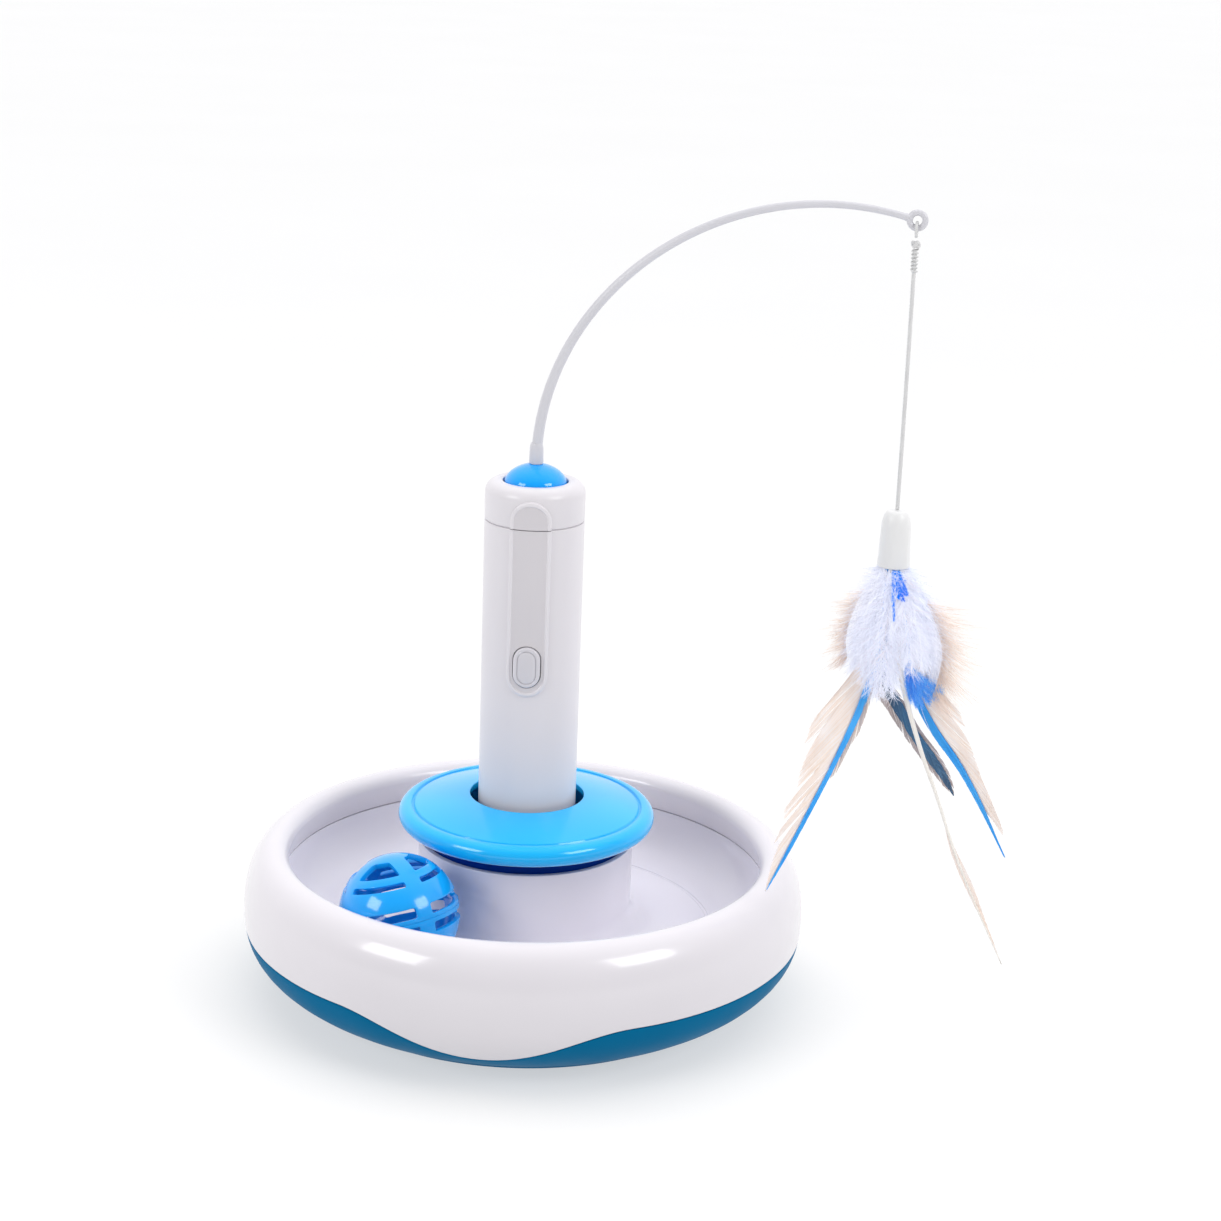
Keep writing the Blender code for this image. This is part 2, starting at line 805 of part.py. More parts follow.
def strip_block(low, high):
    """The part of the raised strip between two heights, as a shape that follows the handle."""
    radius = handle_radius + strip_proud
    inside = handle_radius - handle_wall / 2
    half = strip_width / 2
    reach = math.asin(half / radius)
    columns = 8
    bm = bmesh.new()
    front = []
    back = []
    for column in range(columns + 1):
        angle = -reach + 2 * reach * column / columns
        x = radius * math.sin(angle)
        round_end = half - math.sqrt(max(half ** 2 - x ** 2, 0))
        bottom = max(strip_bottom_height + round_end, low)
        top = min(strip_top_height - round_end, high)
        for height in (bottom, top):
            front.append(bm.verts.new((x, -radius * math.cos(angle), height)))
            back.append(bm.verts.new((x, -math.sqrt(inside ** 2 - x ** 2), height)))
    for column in range(columns):
        a, b, c, d = 2 * column, 2 * column + 1, 2 * column + 2, 2 * column + 3
        bm.faces.new([front[a], front[c], front[d], front[b]])
        bm.faces.new([back[a], back[b], back[d], back[c]])
        bm.faces.new([front[a], back[a], back[c], front[c]])
        bm.faces.new([front[b], front[d], back[d], back[b]])
    bm.faces.new([front[0], front[1], back[1], back[0]])
    bm.faces.new([front[-2], back[-2], back[-1], front[-1]])
    return bm


def build_handle(looks, frame):
    seam_low = cap_seam_height - joint_gap / 2
    seam_high = cap_seam_height + joint_gap / 2
    tube = [
        (handle_radius, body_bottom),
        (handle_radius, seam_low),
        (handle_bore_radius, seam_low),
        (handle_bore_radius, body_bottom),
    ]
    body = make_object("handle_body", turned(tube, handle_steps), looks["white"], frame)
    combine(body, strip_block(strip_bottom_height, seam_low), "UNION")
    hole = prism(oblong(button_width + 2 * joint_gap, button_length + 2 * joint_gap), -handle_radius, cut_overrun * 2)
    stand = Matrix.Translation((0, 0, button_height)) @ facing_front(handle_radius)
    hole_place = stand @ Matrix.Translation((0, 0, handle_radius / 2))
    combine(body, place(hole, hole_place), "DIFFERENCE")

    shoulder = (handle_radius - cap_round, cap_top_height - cap_round)
    cap_outline = [(handle_radius, seam_high)]
    cap_outline += arc(shoulder, (cap_round, cap_round), 0, 90, 4)
    cap_outline += [
        (cap_opening_radius + handle_wall / 3, cap_top_height),
        (cap_opening_radius, cap_top_height - handle_wall / 3),
        (cap_opening_radius, cap_top_height - handle_wall),
        (shoulder[0], cap_top_height - handle_wall),
    ]
    inner_round = cap_round - handle_wall
    cap_outline += arc(shoulder, (inner_round, inner_round), 60, 0, 2)
    cap_outline += [(handle_bore_radius, seam_high)]
    cap = make_object("handle_cap", turned(cap_outline, handle_steps), looks["white"], frame)
    combine(cap, strip_block(seam_high, strip_top_height), "UNION")


def build_button(looks, frame):
    face_depth = handle_radius + strip_proud + button_proud
    stand = Matrix.Translation((0, 0, button_height)) @ facing_front(face_depth)
    plug = place(prism(oblong(button_width, button_length), -button_depth, 0), stand)
    button = make_object("button_cap", plug, looks["button"], frame)
    pad = prism(oblong(button_pad_width, button_pad_length), -button_pad_rise, button_pad_rise)
    combine(button, place(pad, stand), "UNION")
    plunger = cylinder(plunger_radius, -plunger_length, 0, small_steps // 2)
    plunger_place = Matrix.Translation((0, 0, button_height)) @ facing_front(button_back - joint_gap)
    make_object("switch_plunger", place(plunger, plunger_place), looks["black"], frame)


def build_battery_cap(looks, frame):
    bottom = handle_bottom
    top = bottom + battery_cap_height
    plug_radius = handle_bore_radius - joint_gap
    plug_top = top + carrier_thickness
    outline = [
        (0, bottom),
        (handle_radius - handle_wall / 3, bottom),
        (handle_radius, bottom + handle_wall / 3),
        (handle_radius, top),
        (plug_radius, top),
        (plug_radius, plug_top),
        (plug_radius - handle_wall, plug_top),
        (plug_radius - handle_wall, bottom + handle_wall),
        (0, bottom + handle_wall),
    ]
    cap = make_object("battery_cap", turned(outline, handle_steps), looks["white"], frame)
    depth = coin_slot_depth / 2 + cut_overrun
    slot = box(coin_slot_length, coin_slot_width, depth, (0, 0, bottom + coin_slot_depth / 2 - depth / 2))
    combine(cap, slot, "DIFFERENCE")


def disc_with_holes(name, low, thickness, holes, looks, frame):
    plate = make_object(name, cylinder(handle_bore_radius - joint_gap, low, low + thickness, handle_steps),
                        looks["black"], frame)
    for radius, x in holes:
        hole = cylinder(radius, low - cut_overrun, low + thickness + cut_overrun)
        combine(plate, place(hole, Matrix.Translation((x, 0, 0))), "DIFFERENCE")
    return plate


def spring_outline(low, high):
    """Plain tapered solid in the place of a contact spring, wide end first."""
    return [(0, low), (spring_radius, low), (spring_tip_radius, high), (0, high)]


def build_power(looks, frame):
    """Lower carrier, two cells side by side, upper carrier, with their contacts."""
    disc_with_holes("lower_carrier", lower_carrier_low, carrier_thickness, (), looks, frame)
    side = cell_radius + cell_gap / 2
    bridge_outline = oblong(2 * spring_radius, 2 * side + 2 * spring_radius)
    bridge_shape = prism(bridge_outline, bridge_low, bridge_low + bridge_thickness)
    bridge = place(bridge_shape, Matrix.Rotation(math.radians(90), 4, "Z"))
    make_object("contact_bridge", bridge, looks["steel"], frame)
    upright = Matrix.Translation((-side, 0, 0))
    inverted = Matrix.Translation((side, 0, 0))
    spring = place(turned(spring_outline(spring_low, spring_low + spring_height), small_steps // 2), upright)
    make_object("contact_spring_1", spring, looks["steel"], frame)
    cell = [
        (0, cells_low),
        (cell_radius, cells_low),
        (cell_radius, cells_low + cell_length),
        (cell_nub_radius, cells_low + cell_length),
        (cell_nub_radius, nub_end),
        (0, nub_end),
    ]
    make_object("battery_cell_1", place(turned(cell, small_steps), upright), looks["cell"], frame)
    turned_over = [(radius, cells_low + nub_end - height) for radius, height in cell]
    make_object("battery_cell_2", place(turned(turned_over, small_steps), inverted), looks["cell"], frame)
    spring_shape = turned(spring_outline(upper_carrier_low - joint_gap, nub_end + joint_gap), small_steps // 2)
    spring = place(spring_shape, inverted)
    make_object("contact_spring_2", spring, looks["steel"], frame)
    disc_with_holes("upper_carrier", upper_carrier_low, carrier_thickness, (), looks, frame)


def build_switch(looks, frame):
    board = box(board_width, board_thickness, board_height, (0, -board_setback, button_height))
    make_object("circuit_board", board, looks["board"], frame)
    centre = (0, switch_depth / 2 - switch_face, button_height)
    housing = make_object("switch_housing", box(switch_size, switch_depth, switch_size, centre),
                          looks["black"], frame)
    bore = cylinder(plunger_radius + joint_gap, -plunger_length - joint_gap, cut_overrun, small_steps // 2)
    bore_place = Matrix.Translation((0, 0, button_height)) @ facing_front(switch_face)
    combine(housing, place(bore, bore_place), "DIFFERENCE")


def gear_outline(teeth, phase):
    """Outline of a small moulded gear with straight flanked teeth, thinned for backlash."""
    pitch = 2 * math.pi / teeth
    pitch_radius = gear_module * teeth / 2
    root = pitch_radius - dedendum_share * gear_module
    tip = pitch_radius + addendum_share * gear_module
    points = []
    for tooth in range(teeth):
        middle = phase + tooth * pitch
        corners = ((root, -tooth_root_share), (tip, -tooth_tip_share), (tip, tooth_tip_share),
                   (root, tooth_root_share))
        for radius, share in corners:
            angle = middle + share * pitch
            points.append((radius * math.cos(angle), radius * math.sin(angle)))
    return points


def gear_distance():
    return gear_module * (pinion_teeth + wheel_teeth) / 2


def first_layer():
    return gear_plate_height + gear_plate_thickness + joint_gap


def second_layer():
    return first_layer() + gear_face + gear_layer_gap


def cover_bottom():
    return second_layer() + gear_face + joint_gap


def build_drive(looks, frame):
    """Motor, gear plates and posts: the fixed part of the drive."""
    motor = [
        (0, motor_top_height - motor_length),
        (motor_radius, motor_top_height - motor_length),
        (motor_radius, motor_top_height),
        (motor_boss_radius, motor_top_height),
        (motor_boss_radius, motor_top_height + motor_boss_height),
        (0, motor_top_height + motor_boss_height),
    ]
    make_object("motor_can", turned(motor, small_steps), looks["steel"], frame)
    pin_hole = idler_pin_radius + pin_clearance
    holes = ((motor_shaft_radius + joint_gap, 0), (pin_hole, gear_distance()))
    disc_with_holes("gear_plate", gear_plate_height, gear_plate_thickness, holes, looks, frame)
    holes = ((drive_shaft_radius + joint_gap / 2, 0), (pin_hole, gear_distance()))
    disc_with_holes("gear_cover", cover_bottom(), gear_cover_thickness, holes, looks, frame)
    post_low = gear_plate_height + gear_plate_thickness + joint_gap
    for index, degrees in enumerate(gear_post_degrees, start=1):
        angle = math.radians(degrees)
        here = Matrix.Translation((gear_post_circle_radius * math.cos(angle),
                                   gear_post_circle_radius * math.sin(angle), 0))
        post = cylinder(gear_post_radius, post_low, cover_bottom() - joint_gap, small_steps // 2)
        make_object(f"gear_post_{index}", place(post, here), looks["steel"], frame)


def build_pinion(looks, pivot):
    pinion = make_object("motor_pinion", prism(gear_outline(pinion_teeth, 0), first_layer(),
                                               first_layer() + gear_face), looks["brass"], pivot)
    shaft = cylinder(motor_shaft_radius, motor_top_height + motor_boss_height + joint_gap,
                     first_layer() + gear_face / 2, small_steps // 2)
    combine(pinion, shaft, "UNION")


def build_idler(looks, pivot):
    """Compound gear: the wide wheel meets the motor's pinion, the narrow one the output gear."""
    wheel_top = first_layer() + gear_face
    idler = make_object("idler_gear", prism(gear_outline(wheel_teeth, 0), first_layer(), wheel_top),
                        looks["gear"], pivot)
    top = second_layer() + gear_face
    combine(idler, prism(gear_outline(pinion_teeth, 0), wheel_top - gear_layer_gap, top), "UNION")
    pin_low = gear_plate_height + joint_gap
    pin_high = cover_bottom() + gear_cover_thickness / 2
    combine(idler, cylinder(idler_pin_radius, pin_low, pin_high, small_steps // 2), "UNION")


# Rotor


def rod_point(share):
    """A point on the rod's centreline, in the rod's plane, from its base to its tip."""
    start = Vector((0, 0, rod_start_height()))
    end = Vector((rod_end_reach, 0, rod_end_height))
    first = start + Vector((0, 0, rod_base_pull))
    second = end + Vector((-math.cos(rod_tip_fall), 0, math.sin(rod_tip_fall))) * rod_tip_pull
    rest = 1 - share
    return (start * rest ** 3 + first * 3 * rest ** 2 * share
            + second * 3 * rest * share ** 2 + end * share ** 3)


def rod_start_height():
    return dome_top_height + joint_gap


def eye_centre():
    """Centre of the eye, past the rod's tip along the rod's own direction."""
    ahead = Vector((math.cos(rod_tip_fall), 0, -math.sin(rod_tip_fall)))
    return rod_point(1) + ahead * (joint_gap + eye_wire_radius + eye_ring_radius)


def curve_object(name, points, radius, shares, material, parent):
    """A round tube along the points. Each share scales the radius at its point."""
    curve = bpy.data.curves.new(name, "CURVE")
    curve.dimensions = "3D"
    curve.bevel_depth = radius
    curve.bevel_resolution = 2
    curve.use_fill_caps = True
    spline = curve.splines.new("POLY")
    spline.points.add(len(points) - 1)
    for target, point, share in zip(spline.points, points, shares):
        target.co = (*point, 1)
        target.radius = share
    curve.materials.append(material)
    item = bpy.data.objects.new(name, curve)
    bpy.context.scene.collection.objects.link(item)
    item.parent = parent
    return item


def build_rotor(looks, rotor):
    gear_low = second_layer()
    gear = make_object("output_gear", prism(gear_outline(wheel_teeth, -rod_azimuth), gear_low,
                                            gear_low + gear_face), looks["gear"], rotor)
    combine(gear, cylinder(drive_shaft_radius + joint_gap, gear_low - cut_overrun,
                           gear_low + gear_face + cut_overrun), "DIFFERENCE")
    shaft_top = dome_top_height - 2 * handle_wall
    make_object("drive_shaft", cylinder(drive_shaft_radius, gear_low, shaft_top), looks["steel"], rotor)
    flange_top = cap_top_height - handle_wall - dome_flange_gap
    flange_low = flange_top - dome_flange_thickness
    flange_radius = cap_opening_radius + dome_flange_overlap
    bore = drive_shaft_radius + joint_gap
    outline = [
        (0, shaft_top + joint_gap),
        (bore, shaft_top + joint_gap),
        (bore, flange_low),
        (flange_radius, flange_low),
        (flange_radius, flange_top),
        (dome_radius, flange_top),
    ]
    outline += arc((0, dome_rim_height), (dome_radius, dome_rise), 0, 90, 5)[:-1]
    outline += [(0, dome_top_height)]
    dome = make_object("rotor_dome", turned(outline, handle_steps), looks["dome"], rotor)
    inner = rod_base_radius + joint_gap
    outer = inner + sleeve_wall
    seat = cylinder(outer + joint_gap, dome_top_height - sleeve_wall, dome_top_height + cut_overrun)
    combine(dome, seat, "DIFFERENCE")
    low = dome_top_height - sleeve_wall + joint_gap
    sleeve_outline = [
        (inner, low),
        (outer, low),
        (outer, low + sleeve_height / 2),
        (inner + sleeve_tip_wall, low + sleeve_height),
        (inner, low + sleeve_height),
    ]
    make_object("rod_sleeve", turned(sleeve_outline, small_steps // 2), looks["white"], rotor)
    points = [rod_point(index / (rod_stations - 1)) for index in range(rod_stations)]
    taper = rod_tip_radius / rod_base_radius
    shares = [1 + (taper - 1) * index / (rod_stations - 1) for index in range(rod_stations)]
    curve_object("lure_rod", points, rod_base_radius, shares, looks["rod"], rotor)
    eye = make_object("rod_eye", torus(eye_ring_radius, eye_wire_radius), looks["rod"], rotor)
    eye.location = eye_centre()
    eye.rotation_euler = (math.radians(90), 0, 0)


def torus(ring_radius, wire_radius, steps=20):
    """A ring about Z."""
    section = arc((ring_radius, 0), (wire_radius, wire_radius), 0, 360, wire_steps)[:-1]
    return turned(section, steps)


# String and lure


def loop_drop():
    """How far the loop's centre hangs below the eye's centre."""
    return eye_ring_radius - eye_wire_radius - joint_gap - loop_wire_radius + loop_ring_radius


def knot_drop():
    return loop_drop() + loop_ring_radius + loop_wire_radius + joint_gap + knot_radius


def smooth_route(route, pieces):
    """Points on a smooth curve through the route's own points."""
    points = [Vector(point) for point in route]
    ahead = points[-1] * 2 - points[-2]
    behind = points[0] * 2 - points[1]
    extended = [behind, *points, ahead]
    result = [points[0]]
    for run in range(len(points) - 1):
        before, start, end, after = extended[run:run + 4]
        for piece in range(1, pieces + 1):
            share = piece / pieces
            result.append((start * 2 + (end - before) * share
                           + (before * 2 - start * 5 + end * 4 - after) * share ** 2
                           + (start * 3 - before - end * 3 + after) * share ** 3) / 2)
    return result


def string_bottom():
    return string_route[-1][2]


def feather(root, bend, tip, widths, facing, thickness):
    """A thin blade along a curve. widths are (left, right) half widths in full at the vane's widest part."""
    vane_shares = (0.0, 0.0, 0.0, 0.05, 0.35, 0.8, 1.0, 0.85, 0.5, 0.0)
    root, bend, tip, facing = Vector(root), Vector(bend), Vector(tip), Vector(facing)
    bm = bmesh.new()
    rings = []
    last = len(vane_shares) - 1
    for station, vane in enumerate(vane_shares):
        share = station / last
        rest = 1 - share
        centre = root * rest ** 2 + bend * 2 * rest * share + tip * share ** 2
        along = ((bend - root) * rest + (tip - bend) * share).normalized()
        across = along.cross(facing).normalized()
        outward = across.cross(along).normalized()
        stem = quill_radius * (1 - share / 2)
        left = stem + (widths[0] - stem) * vane
        right = stem + (widths[1] - stem) * vane
        raised = stem + (thickness / 2 - stem) * vane
        ring = (centre - across * left, centre + outward * raised,
                centre + across * right, centre - outward * raised)
        rings.append([bm.verts.new(point) for point in ring])
    for lower, upper in zip(rings, rings[1:]):
        for index in range(4):
            beyond = (index + 1) % 4
            bm.faces.new([lower[index], lower[beyond], upper[beyond], upper[index]])
    bm.faces.new(rings[0])
    bm.faces.new(list(reversed(rings[-1])))
    return bm


def skirt_profile(inset):
    """Half outline of the down skirt from its neck to its hem, as (radius, drop)."""
    shape_shares = ((0.0, 0.0), (0.1, 0.24), (0.3, 0.62), (0.55, 0.9), (0.78, 1.0), (1.0, 0.93))
    points = []
    for drop_share, radius_share in shape_shares:
        radius = skirt_neck_radius + (skirt_radius - skirt_neck_radius) * radius_share
        points.append((radius - inset, drop_share * skirt_length))
    return points


def build_lure(looks, pivot):
    points = smooth_route(string_route, string_pieces_per_run)
    curve_object("lure_string", points, string_radius, [1] * len(points), looks["string"], pivot)
    top = string_bottom() - joint_gap
    mouth = top - ferrule_length
    shoulder = ferrule_shoulder_radius - ferrule_top_radius
    outline = [(0, top)]
    outline += arc((ferrule_top_radius, top - ferrule_shoulder_height), (shoulder, ferrule_shoulder_height),
                   90, 0, 4)
    outline += [
        (ferrule_radius, mouth + joint_gap),
        (ferrule_radius - joint_gap, mouth),
        (ferrule_bore_radius, mouth),
        (ferrule_bore_radius, mouth + ferrule_bore_depth),
        (0, mouth + ferrule_bore_depth),
    ]
    make_object("ferrule", turned(outline, small_steps), looks["ferrule"], pivot)
    plug_top = mouth + ferrule_bore_depth - joint_gap
    plug = cylinder(ferrule_bore_radius - joint_gap, plug_top - binding_length, plug_top)
    make_object("quill_binding", plug, looks["binding"], pivot)

    hem = mouth - joint_gap
    outer = [(radius, hem - drop) for radius, drop in skirt_profile(0)]
    inner = [(radius, hem - drop) for radius, drop in skirt_profile(skirt_wall)]
    make_object("down_skirt", turned(outer + inner[::-1], small_steps), looks["down"], pivot)

    start = plug_top - binding_length - joint_gap
    ring = quill_circle_radius
    left_root = (-ring, 0, start)
    right_root = (ring, 0, start)
    dark_root = (0, ring, start)
    spine_root = (0, -ring, start)
    front = (0, -1, 0)
    left_tip = Vector((left_reach, -left_forward, lure_height(left_tip_height)))
    left_bend = Vector((left_bend_reach, -left_bend_forward, lure_height(bend_height)))
    make_object("feather_left", feather(left_root, left_bend, left_tip, (vane_wide, vane_narrow), front,
                                        vane_thickness), looks["vane"], pivot)
    right_tip = Vector((right_reach, right_back, lure_height(right_tip_height)))
    right_bend = Vector((right_bend_reach, right_bend_back, lure_height(bend_height)))
    make_object("feather_right", feather(right_root, right_bend, right_tip, (vane_narrow, vane_wide), front,
                                         vane_thickness), looks["vane"], pivot)
    dark_tip = Vector((dark_reach, dark_back, lure_height(dark_tip_height)))
    dark_bend = Vector((dark_bend_reach, dark_bend_back, lure_height(bend_height)))
    make_object("feather_dark", feather(dark_root, dark_bend, dark_tip, (vane_narrow, vane_narrow), front,
                                        vane_thickness), looks["dark_vane"], pivot)
    spine_tip = Vector((spine_reach, -spine_forward, lure_height(spine_tip_height)))
    spine_bend = Vector((spine_bend_reach, -spine_forward, lure_height(bend_height)))
    make_object("feather_spine", feather(spine_root, spine_bend, spine_tip, (spine_half_width, spine_half_width),
                                         front, vane_thickness), looks["spine"], pivot)

    lift = joint_gap + vane_thickness
    middle_drop = plume_length / 2
    root_depth = skirt_radius_at(0) + lift
    tip_depth = skirt_radius_at(plume_length) + 2 * lift
    middle_depth = skirt_radius_at(middle_drop) + 2 * lift
    bend_depth = 2 * middle_depth - (root_depth + tip_depth) / 2
    plume = feather((0, -root_depth, hem), (0, -bend_depth, hem - middle_drop),
                    (0, -tip_depth, hem - plume_length), (plume_width / 2, plume_width / 2),
                    front, vane_thickness)
    make_object("blue_plume", plume, looks["plume"], pivot)


def skirt_radius_at(drop):
    """Outer radius of the down skirt at a distance below its neck."""
    profile = skirt_profile(0)
    for (start_radius, start), (end_radius, end) in zip(profile, profile[1:]):
        if drop <= end:
            return start_radius + (end_radius - start_radius) * (drop - start) / (end - start)
    return profile[-1][0]


def lure_height(height):
    """A height above the floor, in the knot's own frame."""
    return height - (eye_centre().z - knot_drop())


def build_looks():
    return {
        "white": make_material("white_gloss_plastic", (0.86, 0.85, 0.9), 0.16),
        "shell": make_material("blue_satin_plastic", (0.05, 0.3, 0.55), 0.3),
        "disc": make_material("sky_blue_gloss_plastic", (0.1, 0.5, 0.93), 0.12),
        "dark_blue": make_material("dark_blue_plastic", (0.03, 0.13, 0.32), 0.35),
        "ball": make_material("ball_blue_plastic", (0.07, 0.45, 0.9), 0.18),
        "dome": make_material("dome_blue_plastic", (0.06, 0.42, 0.88), 0.1),
        "button": make_material("button_grey_plastic", (0.78, 0.77, 0.8), 0.3),
        "rubber": make_material("foot_rubber", (0.35, 0.36, 0.38), 0.8),
        "steel": make_material("plated_steel", (0.7, 0.7, 0.72), 0.3, 1.0),
        "brass": make_material("brass", (0.8, 0.6, 0.3), 0.3, 1.0),
        "gear": make_material("gear_nylon", (0.85, 0.84, 0.8), 0.45),
        "black": make_material("black_plastic", (0.05, 0.05, 0.06), 0.5),
        "board": make_material("circuit_board", (0.05, 0.3, 0.14), 0.45),
        "cell": make_material("battery_sleeve", (0.25, 0.26, 0.28), 0.35),
        "rod": make_material("rod_white_plastic", (0.88, 0.88, 0.9), 0.25),
        "string": make_material("white_string", (0.85, 0.85, 0.85), 0.8),
        "ferrule": make_material("ferrule_white_plastic", (0.9, 0.9, 0.92), 0.25),
        "binding": make_material("binding_glue", (0.8, 0.78, 0.7), 0.5),
        "down": make_material("white_down", (0.93, 0.93, 0.95), 0.9),
        "vane": make_material("peach_vane", (0.9, 0.8, 0.72), 0.7),
        "dark_vane": make_material("slate_vane", (0.2, 0.32, 0.5), 0.7),
        "spine": make_material("white_quill", (0.92, 0.92, 0.9), 0.6),
        "plume": make_material("royal_blue_plume", (0.05, 0.2, 0.85), 0.8),
    }


def main():
    clear_scene()
    looks = build_looks()
    root = make_empty("base_frame")
    build_base(looks, root)
    build_ball(looks, make_empty("ball_axis", root, rotation=(0, 0, ball_azimuth)))
    handle = make_empty("handle_frame", root)
    build_handle(looks, handle)
    build_power(looks, handle)
    build_switch(looks, handle)
    build_drive(looks, handle)
    build_button(looks, make_empty("button_slide", handle))
    build_battery_cap(looks, make_empty("battery_cap_axis", handle))
    build_pinion(looks, make_empty("motor_axis", handle))
    build_idler(looks, make_empty("idler_axis", handle, (gear_distance(), 0, 0)))
    rotor = make_empty("rotor_axis", handle, rotation=(0, 0, rod_azimuth))
    build_rotor(looks, rotor)
    swing = make_empty("swing_axis", rotor, eye_centre())
    loop = make_object("string_loop", torus(loop_ring_radius, loop_wire_radius), looks["string"], swing)
    loop.location = (0, 0, -loop_drop())
    loop.rotation_euler = (0, math.radians(90), 0)
    sway = make_empty("sway_axis", swing, (0, 0, -knot_drop()))
    middle = arc((0, 0), (knot_radius, knot_radius), -60, 60, 4)
    knot = turned([(0, -knot_radius), *middle, (0, knot_radius)], small_steps // 2)
    make_object("string_knot", knot, looks["string"], sway)
    build_lure(looks, sway)


main()
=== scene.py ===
"""Looks of the motorised cat toy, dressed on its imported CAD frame.

Metres, +Z up, the origin on the floor at the centre of the base. The button strip faces -Y.
"""

import json
import math
import random

import bmesh
import bpy
from mathutils import Matrix, Vector


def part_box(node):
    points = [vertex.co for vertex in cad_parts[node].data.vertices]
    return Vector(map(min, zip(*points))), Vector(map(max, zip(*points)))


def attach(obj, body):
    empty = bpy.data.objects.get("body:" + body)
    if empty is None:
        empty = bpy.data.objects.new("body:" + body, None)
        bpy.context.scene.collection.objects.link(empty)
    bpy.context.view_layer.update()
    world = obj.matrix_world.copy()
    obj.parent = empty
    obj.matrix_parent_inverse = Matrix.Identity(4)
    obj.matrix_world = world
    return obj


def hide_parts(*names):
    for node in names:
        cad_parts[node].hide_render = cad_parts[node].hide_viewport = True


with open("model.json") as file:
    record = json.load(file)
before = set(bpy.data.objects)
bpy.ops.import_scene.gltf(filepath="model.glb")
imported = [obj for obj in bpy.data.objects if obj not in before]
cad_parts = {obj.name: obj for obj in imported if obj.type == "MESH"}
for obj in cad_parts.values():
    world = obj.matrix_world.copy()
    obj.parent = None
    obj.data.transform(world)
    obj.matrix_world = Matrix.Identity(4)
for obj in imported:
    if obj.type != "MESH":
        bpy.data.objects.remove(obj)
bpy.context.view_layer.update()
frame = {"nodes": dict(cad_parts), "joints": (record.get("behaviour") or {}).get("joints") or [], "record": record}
joints = {joint["name"]: joint for joint in frame["joints"]}

MM = 0.001
joint_gap = 0.3 * MM

# Camera, at the photograph's angle. Roll turns the picture's content clockwise.
camera_place = Vector((62.7 * MM, -815.5 * MM, 374.5 * MM))
camera_yaw = math.radians(2.55)
camera_pitch = math.radians(16.33)
camera_roll = math.radians(2.12)
camera_lens_mm = 74.7
camera_clip_start = 10.0 * MM
sensor_width_mm = 36.0

# Base
outer_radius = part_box("rim_ring")[1].x
crest_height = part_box("rim_ring")[1].z
widest_height = 30.1 * MM
foot_print_radius = 68.4 * MM
wall_fullness = 2.9
wall = 2.2 * MM
underside_height = 0.8 * MM
centre_pad_radius = 12.0 * MM
shell_edge_round = 1.4 * MM
parting_height = 23.5 * MM
parting_dip = 12.3 * MM
dip_half_width = math.radians(30)
first_dip_azimuth = math.radians(-93.6)
dip_count = 3
crest_radius = 85.5 * MM
lip_radius = 81.1 * MM
seam_radius = 83.4 * MM
seam_height = 38.1 * MM
fine_round = 0.35 * MM
parting_round = 0.6 * MM
tray_wall = 2.0 * MM
floor_height = 22.0 * MM
track_edge_radius = 65.5 * MM
track_rise = 19.0 * MM
groove_width = 1.4 * MM
groove_depth = 0.5 * MM
hub_radius = 36.8 * MM
hub_fillet = 9.2 * MM
hub_height = 53.0 * MM
hub_ledge_drop = 2.1 * MM
fixing_circle_radius = 58.0 * MM
foot_radius = 6.0 * MM
foot_seat_top = 1.5 * MM
boss_radius = 3.8 * MM
boss_bore_radius = 1.6 * MM
boss_bottom = 7.4 * MM
screw_well_radius = 3.1 * MM
screw_well_top = 3.3 * MM

# Socket and disc
handle_radius = 16.7 * MM
handle_wall = 1.8 * MM
socket_wall = 2.2 * MM
socket_radius = 19.2 * MM
socket_floor_height = 34.5 * MM
socket_floor_wall = 2.0 * MM
neck_radius = 34.3 * MM
neck_height = 57.6 * MM
socket_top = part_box("socket_cup")[1].z
clip_width = 3.4 * MM
clip_thickness = 0.7 * MM
clip_rib_height = 0.5 * MM
clip_rib_pitch = 1.1 * MM
clip_rib_count = 3
disc_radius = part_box("deck_disc")[1].x
disc_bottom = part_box("deck_disc")[0].z
disc_thickness = 7.1 * MM
disc_top = disc_bottom + disc_thickness
disc_plate_radius = 38.3 * MM
disc_plate_rise = 3.9 * MM
disc_hole_radius = 19.5 * MM
disc_wall = 2.2 * MM
disc_groove_width = 1.3 * MM
disc_groove_depth = 0.75 * MM
disc_rib_radius = 28.5 * MM

# Ball
ball_radius = 20.0 * MM
ball_wall = 1.8 * MM
ball_orbit_radius = 61.0 * MM
ball_azimuth = math.radians(232.4)
ball_pole_azimuth = math.radians(149.0)
ball_pole_tilt = math.radians(16.0)
ball_rib_turn = math.radians(-23.5)
ball_seam = 0.1 * MM
ball_rib_count = 4
ball_rib_width = 5.4 * MM
ball_slot_rows = ((4, 14), (35, 41), (49, 70))
ball_slot_round = 0.7 * MM
ball_slot_pieces = 10
ball_corner_pieces = 4
ball_arc_pieces = 22
ball_edge_round = 0.3 * MM
ball_bevel_degrees = 50
ball_sharp_degrees = 60

